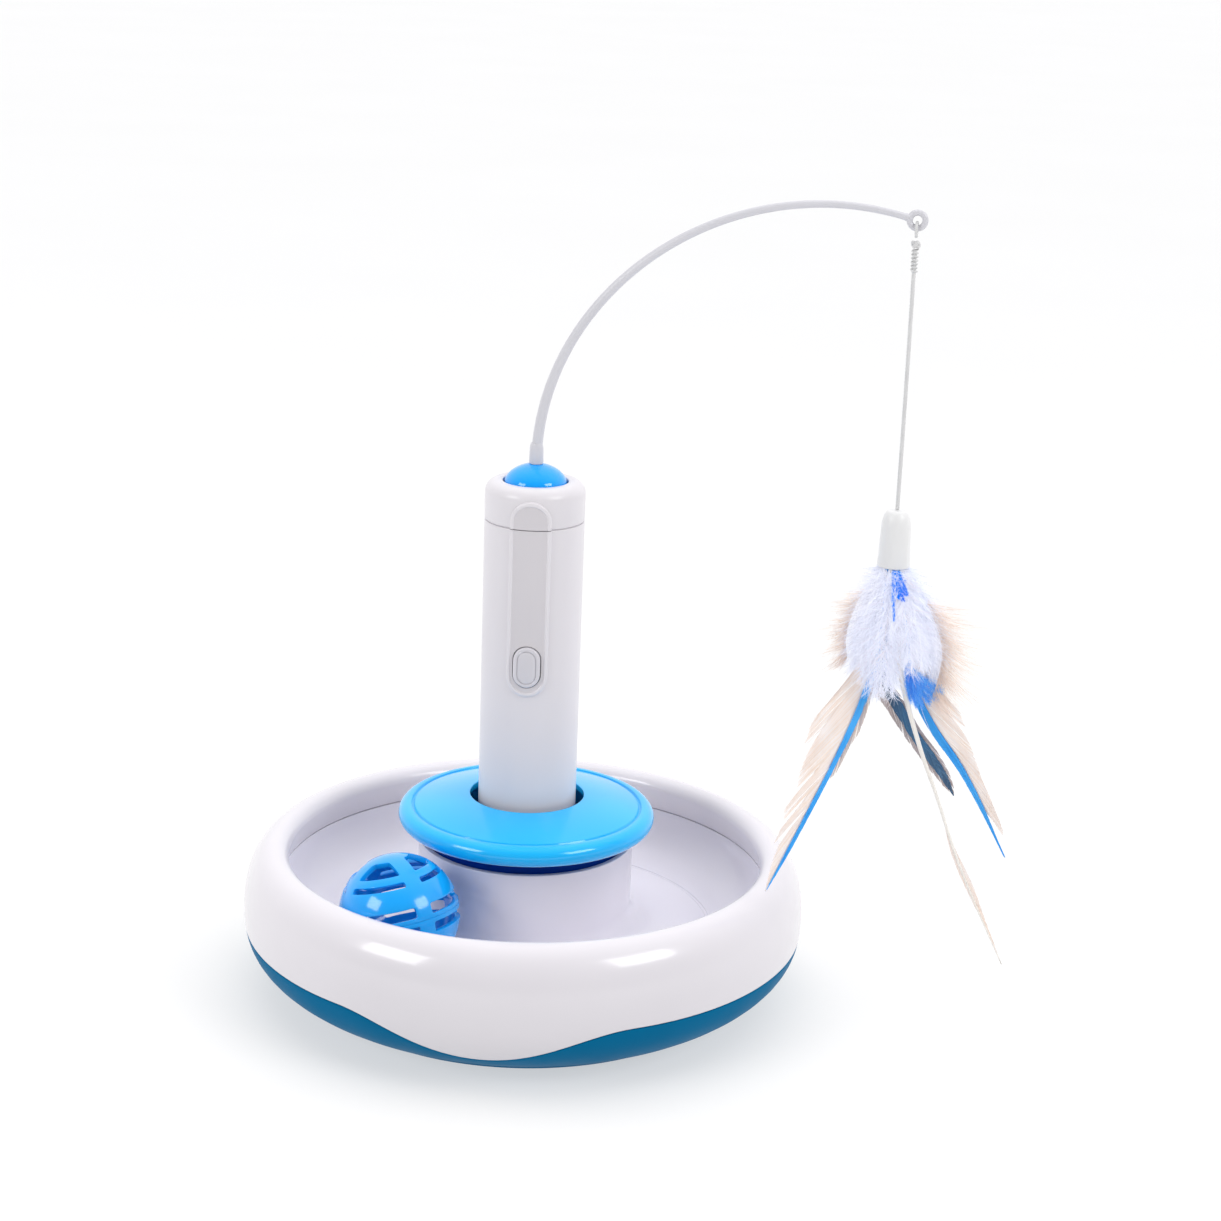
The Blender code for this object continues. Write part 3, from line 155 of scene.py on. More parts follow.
# Handle
cap_seam_height = 166.0 * MM
cap_top_height = 179.2 * MM
cap_round = 4.0 * MM
cap_opening_radius = 10.9 * MM
seam_round = 0.5 * MM
most_eased_share = 0.45
tongue_inset = 0.7 * MM
tongue_height = 1.0 * MM
handle_ring_count = 30
strip_width = 14.0 * MM
strip_length = 66.8 * MM
strip_top_height = 175.6 * MM
strip_proud = 0.9 * MM
strip_round = 0.8 * MM
strip_root = 0.6 * MM
strip_rim = 1.3 * MM
strip_step = 0.25 * MM
strip_sharp_degrees = 25
button_height = 119.3 * MM
button_width = 9.0 * MM
button_length = 14.0 * MM
button_proud = 0.5 * MM
button_depth = 4.6 * MM
button_rim = 1.25 * MM
button_round = 0.6 * MM
button_groove = 0.3 * MM
button_cut_depth = 3.0 * MM
battery_cap_height = 4.9 * MM
battery_cap_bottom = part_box("battery_cap")[0].z
battery_plug_height = 1.6 * MM
coin_slot_length = 20.0 * MM
coin_slot_width = 2.0 * MM
coin_slot_depth = 0.7 * MM

# Rotor
dome_radius = 10.4 * MM
dome_rim_height = 178.2 * MM
dome_top_height = 185.0 * MM
dome_cone_share = 0.12
dome_flange_radius = 12.6 * MM
dome_flange_low = 175.6 * MM
dome_flange_top = 176.7 * MM
dome_underside = 181.7 * MM
dome_bore_radius = 1.8 * MM
rod_base_radius = 1.8 * MM
rod_tip_radius = 1.1 * MM
rod_reach = 116.2 * MM
rod_end_height = 273.0 * MM
rod_base_pull = 57.1 * MM
rod_tip_pull = 59.6 * MM
rod_tip_fall = math.radians(13.6)
sleeve_low = 184.7 * MM
sleeve_height = 7.0 * MM
sleeve_wall = 0.6 * MM
eye_ring_radius = 2.45 * MM
eye_wire_radius = 1.0 * MM
eye_points = 40
eye_neck_shares = (-0.2, 0.0, 0.1, 0.2, 0.3)
eye_neck_swell = 0.15
eye_neck_sides = 16

# String, in the frame of its knot: out along the rod's plane, across it, up
string_radius = 0.7 * MM
string_route = (
    (0.0 * MM, 0.0 * MM, -1.8 * MM),
    (0.1 * MM, 0.0 * MM, -30.0 * MM),
    (0.1 * MM, 0.0 * MM, -58.0 * MM),
    (0.0 * MM, 0.0 * MM, -85.6 * MM),
)
string_pieces_per_run = 9
string_plies = 3
string_lay_pitch = 3.2 * MM
loop_ring_radius = 2.2 * MM
loop_wire_radius = 0.5 * MM
knot_radius = 1.5 * MM
knot_wire_radius = 0.5 * MM
whipping_length = 7.0 * MM
whipping_turns = 6
whipping_points_per_turn = 16
whipping_sides = 8
whipping_wire_share = 0.6
whipping_seat_share = 0.4
knot_points = 90
knot_sides = 10
knot_swing_share = 0.62
knot_curve_reach = 2.4
knot_depth_share = 0.8
ply_depth_share = 0.24
lay_points_per_turn = 8
loop_points = 64

# Lure, in the same frame, its heights above the floor
ferrule_radius = 5.35 * MM
ferrule_top_radius = 2.4 * MM
ferrule_length = 18.6 * MM
ferrule_shoulder_radius = 4.8 * MM
ferrule_shoulder_height = 5.9 * MM
ferrule_bore_radius = 4.2 * MM
ferrule_bore_depth = 10.6 * MM
quill_start_height = 158.9 * MM
down_length = 43.0 * MM
down_radius = 17.5 * MM
down_neck_radius = 4.7 * MM
down_top_rise = 0.9 * MM
down_lean = 1.6 * MM
down_quill_width = 0.3 * MM
down_barb_width = 0.15 * MM
tuft_barb_width = 0.24 * MM
fluff_barb_length = 4.6 * MM
fluff_bow = 1.5 * MM
fluff_pieces = 8
tuft_scale = 1.14
fluff_azimuth = math.radians(-42)
fluff_open_share = 0.87
fluff_down_share = 0.74
down_fullness = 1.03
down_side_fullness = 0.15
down_path_pieces = 10
down_barb_pieces = 5
down_wave_turn = 5.0
down_wave_share = 0.06
down_curl_share = 0.45
down_taper_share = 0.7
# Shares of the way down the skirt, and of its bulge there
down_bulge_shares = ((0.0, 0.0), (0.1, 0.26), (0.3, 0.64), (0.5, 0.92), (0.65, 1.0), (0.85, 0.9), (1.0, 0.74))
# Number of plumes, share of the bulge, share of the length, barb length in millimetres, barbs on a plume
down_layers = ((32, 0.76, 1.0, 8.6, 250), (18, 0.6, 1.06, 7.4, 200), (9, 0.4, 1.04, 6.0, 160))

# Feathers
quill_pieces_per_run = 8
quill_pieces = 40
quill_sides = 8
barb_splay_share = 1.35
barb_bend_share = 0.5
barb_taper_share = 0.75
barb_gather_share = 0.35
barb_pieces = 6
first_look_share = 0.66
vane_lift = 0.3 * MM
blue_lift = 0.2 * MM
close_lift = 0.1 * MM
vane_barb_width = 0.34 * MM
grey_barb_width = 0.3 * MM
fine_barb_width = 0.26 * MM
blue_outer_barb_width = 0.24 * MM
long_quill_radii = (0.65 * MM, 0.16 * MM)
dark_quill_radii = (0.6 * MM, 0.2 * MM)
spine_quill_radii = (1.15 * MM, 0.2 * MM)
blue_raise = 0.5 * MM
dark_raise = 0.35 * MM
dark_inside_share = 0.55

# Steps around the turned shapes, sides of the tubes
shell_steps = 180
ring_steps = 192
tray_steps = 160
disc_steps = 160
handle_steps = 128
round_steps = 96
ferrule_steps = 64
sleeve_steps = 48
fixing_steps = 32
ball_steps = 72
rod_stations = 72
rod_sides = 20
string_sides = 18
eye_sides = 14

# Surface detail: noise scales per metre, shares of a look's roughness, and depth of the relief
drift_scale = 22.0
gloss_scale = 60.0
gloss_shares = (0.88, 1.14)
grain_scale = 1700.0
grain_depth = 0.02 * MM
worn_edge = (0.52, 0.62)
worn_gain = 1.25
scratch_scale = 60.0
scratch_depth = 0.05 * MM
patch_scale = 90.0
rubber_scale = 260.0
rubber_depth = 0.1 * MM
streak_scale = 160.0
blotch_scale = 45.0
fibre_scale = 900.0
fibre_depth = 0.08 * MM

# Room and lights, in metres; azimuths and elevations of the softboxes in degrees, then their height
floor_half_size = 60.0
floor_shades = ((0.35, 0.35, 0.35), (0.37, 0.37, 0.37))
floor_scale = 3.0
floor_glow = 0.55
room_colour = (0.98, 0.98, 1.0)
room_front_share = 0.3
room_fade = (-0.7, 0.4)
lit_height = 0.08
softboxes = (("softbox_left", -140, 27, 0.42), ("softbox_right", -33, 33, 0.42))
softbox_distance = 1.3
softbox_width = 0.55
softbox_power = 6.2
overhead_power = 1.5
overhead_spread = math.radians(70)
overhead_azimuth = math.radians(60)
overhead_tilt = math.radians(12)


def lure_frame():
    """Place of the knot and the directions along the rod's plane and across it."""
    sway = joints["lure_sway"]
    outwards = Vector(sway["axis"]).normalized()
    across = Vector((0, 0, 1)).cross(outwards)
    return Vector(sway["pos_m"]), outwards, across


knot_place, rod_outwards, rod_across = lure_frame()


def lure_point(reach, back, height):
    """A point at a reach outwards along the rod, a distance back across it, and a height above the floor."""
    flat = knot_place + rod_outwards * reach + rod_across * back
    return Vector((flat.x, flat.y, height))


# Shape helpers


def arc(centre, radii, start_degrees, end_degrees, pieces):
    """Points on an elliptical arc in the (radius, height) plane, ends included."""
    points = []
    for piece in range(pieces + 1):
        angle = math.radians(start_degrees + (end_degrees - start_degrees) * piece / pieces)
        points.append((centre[0] + radii[0] * math.cos(angle), centre[1] + radii[1] * math.sin(angle)))
    return points


def shares(pieces):
    """Evenly spaced shares of the way, from 0 to 1."""
    return [piece / pieces for piece in range(pieces + 1)]


def curved(start, middle, end, share):
    """A point on the curve that leaves the start for the middle and comes round to the end."""
    rest = 1 - share
    return start * rest ** 2 + middle * 2 * rest * share + end * share ** 2


def eased(outline, radius, closed=True, pieces=3, sharpest=150):
    """The outline with each corner sharper than the given angle turned into a small round."""
    points = []
    count = len(outline)
    for index, place in enumerate(outline):
        corner = Vector(place)
        if not closed and index in (0, count - 1):
            points.append(tuple(corner))
            continue
        before = Vector(outline[index - 1]) - corner
        after = Vector(outline[(index + 1) % count]) - corner
        angle = before.angle(after, math.pi)
        if angle > math.radians(sharpest):
            points.append(tuple(corner))
            continue
        reach = radius / math.tan(angle / 2)
        start = corner + before.normalized() * min(reach, before.length * most_eased_share)
        end = corner + after.normalized() * min(reach, after.length * most_eased_share)
        points += [tuple(curved(start, corner, end, share)) for share in shares(pieces)]
    return points


def turned(outline_at, steps):
    """Revolve (radius, height) points about Z. outline_at is one outline, or gives one for each azimuth.

    An outline that starts and ends on the axis closes there; any other outline is a closed loop.
    """
    bm = bmesh.new()
    rings = []
    poles = {}
    for step in range(steps):
        azimuth = 2 * math.pi * step / steps
        outline = outline_at(azimuth) if callable(outline_at) else outline_at
        ring = []
        for place, (radius, height) in enumerate(outline):
            if radius == 0:
                if place not in poles:
                    poles[place] = bm.verts.new((0, 0, height))
                ring.append(poles[place])
            else:
                ring.append(bm.verts.new((radius * math.cos(azimuth), radius * math.sin(azimuth), height)))
        rings.append(ring)
    count = len(rings[0])
    for step, ring in enumerate(rings):
        following = rings[(step + 1) % steps]
        for place in range(count - 1 if poles else count):
            beyond = (place + 1) % count
            corners = []
            for corner in (ring[place], following[place], following[beyond], ring[beyond]):
                if corner not in corners:
                    corners.append(corner)
            bm.faces.new(corners)
    return bm


def bridge(bm, first, second, slot=0):
    """Faces between two rings of equally many points, all the way round."""
    count = len(first)
    for index in range(count):
        beyond = (index + 1) % count
        face = bm.faces.new((first[index], first[beyond], second[beyond], second[index]))
        face.material_index = slot


def circle_points(centre, radius, first, second, count):
    """Points on a circle that starts along the first direction and turns to the second."""
    points = []
    for index in range(count):
        angle = 2 * math.pi * index / count
        points.append(centre + first * (radius * math.cos(angle)) + second * (radius * math.sin(angle)))
    return points


def tube(points, radius_at, sides, plies=0, pitch=1.0, closed=False):
    """A tube along the points. radius_at gives its radius at a share of the way; plies twist around it."""
    bm = bmesh.new()
    rings = []
    count = len(points)
    travelled = 0.0
    side = None
    for index, point in enumerate(points):
        if closed:
            ahead = (points[(index + 1) % count] - points[index - 1]).normalized()
        else:
            ahead = (points[min(index + 1, count - 1)] - points[max(index - 1, 0)]).normalized()
        if side is None:
            side = ahead.orthogonal().normalized()
        side = (side - ahead * side.dot(ahead)).normalized()
        other = ahead.cross(side)
        if index:
            travelled += (point - points[index - 1]).length
        radius = radius_at(index / (count - 1))
        ring = []
        for corner in range(sides):
            angle = 2 * math.pi * corner / sides
            swell = 1.0
            if plies:
                turn = 2 * math.pi * travelled / pitch
                swell = 1 - ply_depth_share * (1 - abs(math.cos(plies * (angle - turn) / 2)))
            outwards = side * math.cos(angle) + other * math.sin(angle)
            ring.append(bm.verts.new(point + outwards * radius * swell))
        rings.append(ring)
    pairs = list(zip(rings, rings[1:]))
    if closed:
        pairs.append((rings[-1], rings[0]))
    for lower, upper in pairs:
        bridge(bm, lower, upper)
    if not closed:
        bm.faces.new(rings[0])
        bm.faces.new(list(reversed(rings[-1])))
    return bm


def oblong(width, length, pieces=12):
    """Outline of a strip with full round ends, its length along the second axis."""
    radius = width / 2
    straight = (length - width) / 2
    points = arc((0, straight), (radius, radius), 0, 180, pieces)
    points += arc((0, -straight), (radius, radius), 180, 360, pieces)
    return points


def oblong_loft(width, length, profile, place_at, second_inset=None):
    """Stack of oblongs, each (inset, rise) of the profile, laid out by place_at(x, y, rise) and capped.

    Faces further in than second_inset take the second material.
    """
    bm = bmesh.new()
    rings = []
    for inset, rise in profile:
        outline = oblong(width - 2 * inset, length - 2 * inset)
        rings.append([bm.verts.new(place_at(x, y, rise)) for x, y in outline])
    for row, (lower, upper) in enumerate(zip(rings, rings[1:])):
        bridge(bm, lower, upper, int(second_inset is not None and profile[row][0] >= second_inset))
    bm.faces.new(list(reversed(rings[0])))
    bm.faces.new(rings[-1]).material_index = int(second_inset is not None)
    return bm


def box(width, depth, height, centre=(0, 0, 0)):
    """A plain block, for cutters and small clips."""
    bm = bmesh.new()
    size = Matrix.Diagonal((width, depth, height, 1))
    bmesh.ops.create_cube(bm, size=1, matrix=Matrix.Translation(centre) @ size)
    return bm


def new_mesh(name, bm):
    """A mesh made from a bmesh, which is then let go."""
    mesh = bpy.data.meshes.new(name)
    bm.to_mesh(mesh)
    bm.free()
    return mesh


def add_object(name, data):
    """A new object in the scene."""
    added = bpy.data.objects.new(name, data)
    bpy.context.scene.collection.objects.link(added)
    return added


def shade(mesh, sharp_degrees):
    """Smooth shading, but for edges sharper than the angle."""
    mesh.shade_smooth()
    mesh.set_sharp_from_angle(angle=math.radians(sharp_degrees))


def joined(shapes):
    """Several separate shapes in one bmesh."""
    whole = bmesh.new()
    for shape in shapes:
        mesh = new_mesh("joined", shape)
        whole.from_mesh(mesh)
        bpy.data.meshes.remove(mesh)
    return whole


def placed(bm, matrix):
    """The same shape, moved by the matrix."""
    bmesh.ops.transform(bm, matrix=matrix, verts=bm.verts)
    return bm


def make_piece(name, bm, look_names, body, nodes=(), sharp_degrees=40, tidy=True):
    """Turn a bmesh into a named piece that rides on a body and stands for CAD nodes.
    """
    if tidy:
        bmesh.ops.recalc_face_normals(bm, faces=bm.faces)
    mesh = new_mesh(name, bm)
    for look in look_names:
        mesh.materials.append(looks[look])
    shade(mesh, sharp_degrees)
    piece = add_object(name, mesh)
    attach(piece, body)
    if nodes:
        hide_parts(*nodes)
    return piece


def reshape(piece, kind, settings, sharp_degrees):
    """Apply a modifier to the piece's mesh."""
    modifier = piece.modifiers.new(kind.lower(), kind)
    for setting, value in settings.items():
        setattr(modifier, setting, value)
    graph = bpy.context.evaluated_depsgraph_get()
    mesh = bpy.data.meshes.new_from_object(piece.evaluated_get(graph))
    piece.modifiers.clear()
    piece.data = mesh
    shade(mesh, sharp_degrees)


def cut(piece, bm, sharp_degrees=40):
    """Cut a shape out of a piece with an exact Boolean."""
    bmesh.ops.recalc_face_normals(bm, faces=bm.faces)
    cutter = add_object("cutter", new_mesh("cutter", bm))
    settings = {"operation": "DIFFERENCE", "solver": "EXACT", "object": cutter}
    reshape(piece, "BOOLEAN", settings, sharp_degrees)
    bpy.data.objects.remove(cutter, do_unlink=True)


# Materials


def scaled(colour, share):
    """The colour made brighter or darker."""
    return tuple(min(1.0, channel * share) for channel in colour)


class Graph:
    """The nodes of a material or a world, with short ways to add to them."""

    def __init__(self, owner):
        owner.use_nodes = True
        self.owner = owner
        self.nodes = owner.node_tree.nodes
        self.links = owner.node_tree.links
        self.shader = self.nodes.get("Principled BSDF")

    def noise(self, scale, detail=2.0, stretch=None):
        """Noise in the object's own space, drawn out along an axis where stretch says so."""
        source = self.nodes.new("ShaderNodeTexCoord").outputs["Object"]
        if stretch:
            mapping = self.nodes.new("ShaderNodeMapping")
            mapping.inputs["Scale"].default_value = stretch
            self.links.new(source, mapping.inputs["Vector"])
            source = mapping.outputs["Vector"]
        texture = self.nodes.new("ShaderNodeTexNoise")
        texture.inputs["Scale"].default_value = scale
        texture.inputs["Detail"].default_value = detail
        self.links.new(source, texture.inputs["Vector"])
        return texture.outputs["Fac"]

    def edges(self):
        """How convex the surface is at each point."""
        return self.nodes.new("ShaderNodeNewGeometry").outputs["Pointiness"]

    def ranged(self, source, low, high, start=0.3, end=0.7):
        """The source, from start to end, stretched to run from low to high."""
        node = self.nodes.new("ShaderNodeMapRange")
        settings = (("From Min", start), ("From Max", end), ("To Min", low), ("To Max", high))
        for name, value in settings:
            node.inputs[name].default_value = value
        self.links.new(source, node.inputs["Value"])
        return node.outputs["Result"]

    def mixed(self, factor, first, second):
        """Colour that goes from first to second. Each is a colour or another node's output."""
        node = self.nodes.new("ShaderNodeMix")
        node.data_type = "RGBA"
        self.links.new(factor, node.inputs[0])
        for socket, value in ((node.inputs[6], first), (node.inputs[7], second)):
            if isinstance(value, bpy.types.NodeSocket):
                self.links.new(value, socket)
            else:
                socket.default_value = (*value, 1.0)
        return node.outputs[2]

    def feed(self, name, source):
        """Link a source to one of the shader's own sockets."""
        self.links.new(source, self.shader.inputs[name])

    def settle(self, **values):
        """Set sockets of the shader that are the same all over; an underscore stands for a space."""
        for name, value in values.items():
            self.shader.inputs[name.replace("_", " ")].default_value = value

    def bump(self, height, strength, distance):
        """Fine relief from a height, without changing the shape."""
        bump = self.nodes.new("ShaderNodeBump")
        bump.inputs["Strength"].default_value = strength
        bump.inputs["Distance"].default_value = distance
        self.links.new(height, bump.inputs["Height"])
        self.feed("Normal", bump.outputs["Normal"])


def moulded(name, colour, roughness, coat=0.0, drift=0.04, worn=0.35, ripple=0.05, shine=0.5):
    """Moulded plastic: faint drift in colour, uneven gloss, slightly paler handled edges, fine grain."""
    graph = Graph(bpy.data.materials.new(name))
    broad = graph.ranged(graph.noise(drift_scale), 0.0, 1.0)
    tint = graph.mixed(broad, scaled(colour, 1 - drift), scaled(colour, 1 + drift))
    if worn:
        edge = graph.ranged(graph.edges(), 0.0, worn, *worn_edge)
        tint = graph.mixed(edge, tint, scaled(colour, worn_gain))
    graph.feed("Base Color", tint)
    low, high = (roughness * share for share in gloss_shares)
    graph.feed("Roughness", graph.ranged(graph.noise(gloss_scale), low, high))
    graph.bump(graph.noise(grain_scale, 1.0), ripple, grain_depth)
    graph.settle(Coat_Weight=coat, Coat_Roughness=0.04, IOR=1.5, Specular_IOR_Level=shine)
    return graph.owner


def metal(name, colour, roughness):
    """Plated or machined metal with fine turned scratches and dull patches."""
    graph = Graph(bpy.data.materials.new(name))
    patches = graph.ranged(graph.noise(patch_scale, 3.0), 0.0, 1.0)
    graph.feed("Base Color", graph.mixed(patches, scaled(colour, 0.85), scaled(colour, 1.08)))
    scratches = graph.noise(scratch_scale, 4.0, (1.0, 1.0, 30.0))
    graph.feed("Roughness", graph.ranged(scratches, roughness * 0.7, roughness * 1.5))
    graph.bump(scratches, 0.08, scratch_depth)
    graph.settle(Metallic=1.0)
    return graph.owner


def rubber(name, colour):
    """Soft rubber with a fine matt grain."""
    graph = Graph(bpy.data.materials.new(name))
    grain = graph.noise(rubber_scale, 4.0)
    tint = graph.mixed(graph.ranged(grain, 0.0, 1.0), scaled(colour, 0.8), scaled(colour, 1.2))
    graph.feed("Base Color", tint)
    graph.feed("Roughness", graph.ranged(grain, 0.7, 0.92))
    graph.bump(grain, 0.3, rubber_depth)
    return graph.owner


def plume_look(name, colour, tip_colour, spread=0.5, roughness=0.55, glow=0.0):
    """Feather barbs: soft sheen, and a colour that drifts towards another along and between barbs. A glow, where
    given, is painted light: emission that lifts the shade between barbs.
    """
    graph = Graph(bpy.data.materials.new(name))
    streaks = graph.noise(streak_scale, 3.0, (1.0, 1.0, 0.25))
    first = graph.mixed(graph.ranged(streaks, 0.0, spread), colour, tip_colour)
    tint = graph.mixed(graph.ranged(graph.noise(blotch_scale), 0.0, spread, 0.4, 0.75), first, tip_colour)
    graph.feed("Base Color", tint)
    graph.feed("Roughness", graph.ranged(streaks, roughness * 0.8, roughness * 1.2))
    # Painted light: emission in the barbs' own colour lifts their shade, though the barbs are no lamp.
    if glow:
        graph.feed("Emission Color", tint)
        graph.settle(Emission_Strength=glow)
    graph.settle(Sheen_Weight=0.2, Sheen_Roughness=0.4, Specular_IOR_Level=0.3)
    return graph.owner


def cord_look(name, colour):
    """Waxed cord: pale plies with painted shade in the valleys between them, and stray fibres."""
    graph = Graph(bpy.data.materials.new(name))
    # Painted shade: the valleys between plies, found by how convex the surface is, are darkened where shade would
    # fall.
    plies = graph.mixed(graph.ranged(graph.edges(), 0.0, 1.0, 0.42, 0.52), scaled(colour, 0.6), colour)
    fibres = graph.noise(fibre_scale, 3.0, (1.0, 1.0, 0.3))
    graph.feed("Base Color", graph.mixed(graph.ranged(fibres, 0.0, 0.35), plies, scaled(colour, 0.8)))
    graph.feed("Roughness", graph.ranged(fibres, 0.55, 0.8))
    graph.bump(fibres, 0.35, fibre_depth)
    return graph.owner


looks = {
    "gloss_white": moulded("gloss_white_plastic", (0.7, 0.675, 0.71), 0.2, coat=0.35, drift=0.012, worn=0.2),
    # The tray is the ring's white plastic, painted brighter to stand in for light that falls into it: painted
    # light.
    "tray_white": moulded("tray_white_plastic_painted_bright", (0.76, 0.735, 0.8), 0.22, coat=0.2, drift=0.012, worn=0.1),
    "handle_white": moulded("handle_white_plastic", (0.695, 0.67, 0.7), 0.33, coat=0.12, drift=0.012,
                            worn=0.0),
    "strip_grey": moulded("strip_grey_plastic", (0.6, 0.575, 0.6), 0.34, drift=0.015, worn=0.0),
    "shell_blue": moulded("shell_blue_plastic", (0.0, 0.13, 0.28), 0.45, worn=0.0, shine=0.03),
    "sky_blue": moulded("sky_blue_plastic", (0.006, 0.46, 0.93), 0.14, coat=0.3, worn=0.1, shine=0.4),
    "dark_blue": moulded("dark_blue_plastic", (0.0, 0.035, 0.28), 0.4, worn=0.0, shine=0.06),
    "ball_blue": moulded("ball_blue_plastic", (0.004, 0.36, 0.9), 0.16, coat=0.45, worn=0.0, shine=0.4),
    "dome_blue": moulded("dome_blue_plastic", (0.0, 0.36, 0.95), 0.08, coat=0.6, worn=0.1, shine=0.3),
    "button_grey": moulded("button_grey_plastic", (0.6, 0.585, 0.62), 0.35, worn=0.7),
    "foot_rubber": rubber("foot_grey_rubber", (0.3, 0.31, 0.33)),
    "plated_steel": metal("nickel_plated_steel", (0.72, 0.71, 0.69), 0.28),
    "brass": metal("machined_brass", (0.78, 0.57, 0.25), 0.3),
    "gear_nylon": moulded("gear_nylon", (0.8, 0.78, 0.7), 0.45, worn=0.3, ripple=0.3),
    "black_plastic": moulded("black_plastic", (0.03, 0.03, 0.035), 0.5, drift=0.2, ripple=0.4),
    "circuit_board": moulded("green_circuit_board", (0.02, 0.2, 0.08), 0.4, drift=0.25, ripple=0.4),
    "battery_sleeve": moulded("battery_sleeve", (0.12, 0.13, 0.15), 0.3, coat=0.3, drift=0.1),
    "rod_white": moulded("rod_white_plastic", (0.6, 0.595, 0.63), 0.33, drift=0.02, worn=0.0, ripple=0.01),
    "white_string": cord_look("waxed_white_cord", (0.66, 0.66, 0.66)),
    "ferrule_white": moulded("ferrule_white_plastic", (0.74, 0.74, 0.74), 0.33, drift=0.015, worn=0.0),
    "binding_glue": moulded("hardened_glue", (0.75, 0.71, 0.58), 0.35, drift=0.15, ripple=0.6),
    # The glow values below are painted light that lifts the shade between barbs.
    "white_down": plume_look("white_down", (0.88, 0.88, 0.94), (0.76, 0.8, 0.93), 0.6, glow=0.12),
    "peach_web": plume_look("peach_web", (0.9, 0.79, 0.71), (0.84, 0.68, 0.58), 0.8, glow=0.06),
    "peach_vane": plume_look("peach_vane", (0.9, 0.86, 0.86), (0.86, 0.74, 0.67), 0.9, glow=0.06),
    "blue_vane": plume_look("bright_blue_vane", (0.02, 0.34, 0.9), (0.1, 0.5, 0.98), 0.6),
    "slate_vane": plume_look("slate_vane", (0.03, 0.2, 0.4), (0.1, 0.15, 0.22), 0.8),
    "teal_vane": plume_look("teal_vane", (0.015, 0.16, 0.36), (0.05, 0.08, 0.13), 0.9),
    "grey_vane": plume_look("grey_vane", (0.45, 0.45, 0.52), (0.58, 0.48, 0.45), 0.9),
    "brown_vane": plume_look("grey_brown_vane", (0.3, 0.25, 0.25), (0.42, 0.34, 0.32), 0.9),
    "white_quill": plume_look("ivory_quill", (0.82, 0.8, 0.76), (0.76, 0.7, 0.64), 0.4, 0.35, glow=0.06),
    "royal_blue": plume_look("royal_blue_down", (0.0, 0.16, 0.95), (0.02, 0.36, 1.0), 0.7, glow=0.05),
    "fluff_blue": plume_look("azure_down", (0.05, 0.38, 1.0), (0.24, 0.6, 1.0), 0.9, glow=0.14),
}


# Base pieces


def parting_at(azimuth):
    """Height of the line between shell and ring, which dips at evenly spaced places."""
    spacing = 2 * math.pi / dip_count
    offset = (azimuth - first_dip_azimuth + spacing / 2) % spacing - spacing / 2
    if abs(offset) >= dip_half_width:
        return parting_height
    return parting_height - parting_dip * (1 + math.cos(math.pi * offset / dip_half_width)) / 2


def wall_point(height, depth):
    """A point on the bowl-shaped outer wall, moved inwards by depth along its normal."""
    spread = outer_radius - foot_print_radius
    left = 1 - height / widest_height
    radius = outer_radius - spread * left ** wall_fullness
    slope = wall_fullness * spread * left ** (wall_fullness - 1) / widest_height
    length = math.hypot(1, slope)
    return radius - depth / length, height + depth * slope / length


def steps_between(low, high, pieces):
    """Evenly spaced values, both ends included."""
    return [low + (high - low) * piece / pieces for piece in range(pieces + 1)]


def shell_outline(azimuth):
    """Bottom plate with its centre pad, and the wall up to the parting line."""
    top = parting_at(azimuth) - joint_gap / 2
    start = underside_height + shell_edge_round
    heights = steps_between(start, top, 10)
    outer = [wall_point(height, 0) for height in heights]
    inner = [wall_point(height, wall) for height in reversed(heights)]
    plate_top = underside_height + wall
    bottom_radius = outer[0][0] - shell_edge_round
    closed = eased(outer + inner, parting_round, closed=False)
    below = [
        (0, 0),
        (centre_pad_radius, 0),
        (centre_pad_radius + underside_height, underside_height),
        (bottom_radius, underside_height),
    ]
    return below + closed + [(bottom_radius - wall / 2, plate_top), (0, plate_top)]


def ring_outline(azimuth):
    """Outer wall above the parting line, shoulder, and the lip rolled over the track."""
    bottom = parting_at(azimuth) + joint_gap / 2
    heights = steps_between(bottom, widest_height, 8)[:-1]
    outer = [wall_point(height, 0) for height in heights]
    shoulder_radii = (outer_radius - crest_radius, crest_height - widest_height)
    shoulder = arc((crest_radius, widest_height), shoulder_radii, 0, 90, 20)
    lip_drop = crest_radius - lip_radius
    lip = arc((crest_radius, crest_height - lip_drop), (lip_drop, lip_drop), 90, 180, 10)
    seam = seam_height + joint_gap / 2
    inside_lip = lip_drop - wall
    back = [(seam_radius, seam), (seam_radius + wall, seam)]
    back += arc((crest_radius, crest_height - lip_drop), (inside_lip, inside_lip), 180, 90, 3)
    under_radii = tuple(radius - wall for radius in shoulder_radii)
    under = arc((crest_radius, widest_height), under_radii, 90, 0, 6)
    inner = [wall_point(height, wall) for height in reversed(heights)]
    return eased(outer + shoulder + lip[1:] + back + under[1:] + inner, fine_round, sharpest=140)


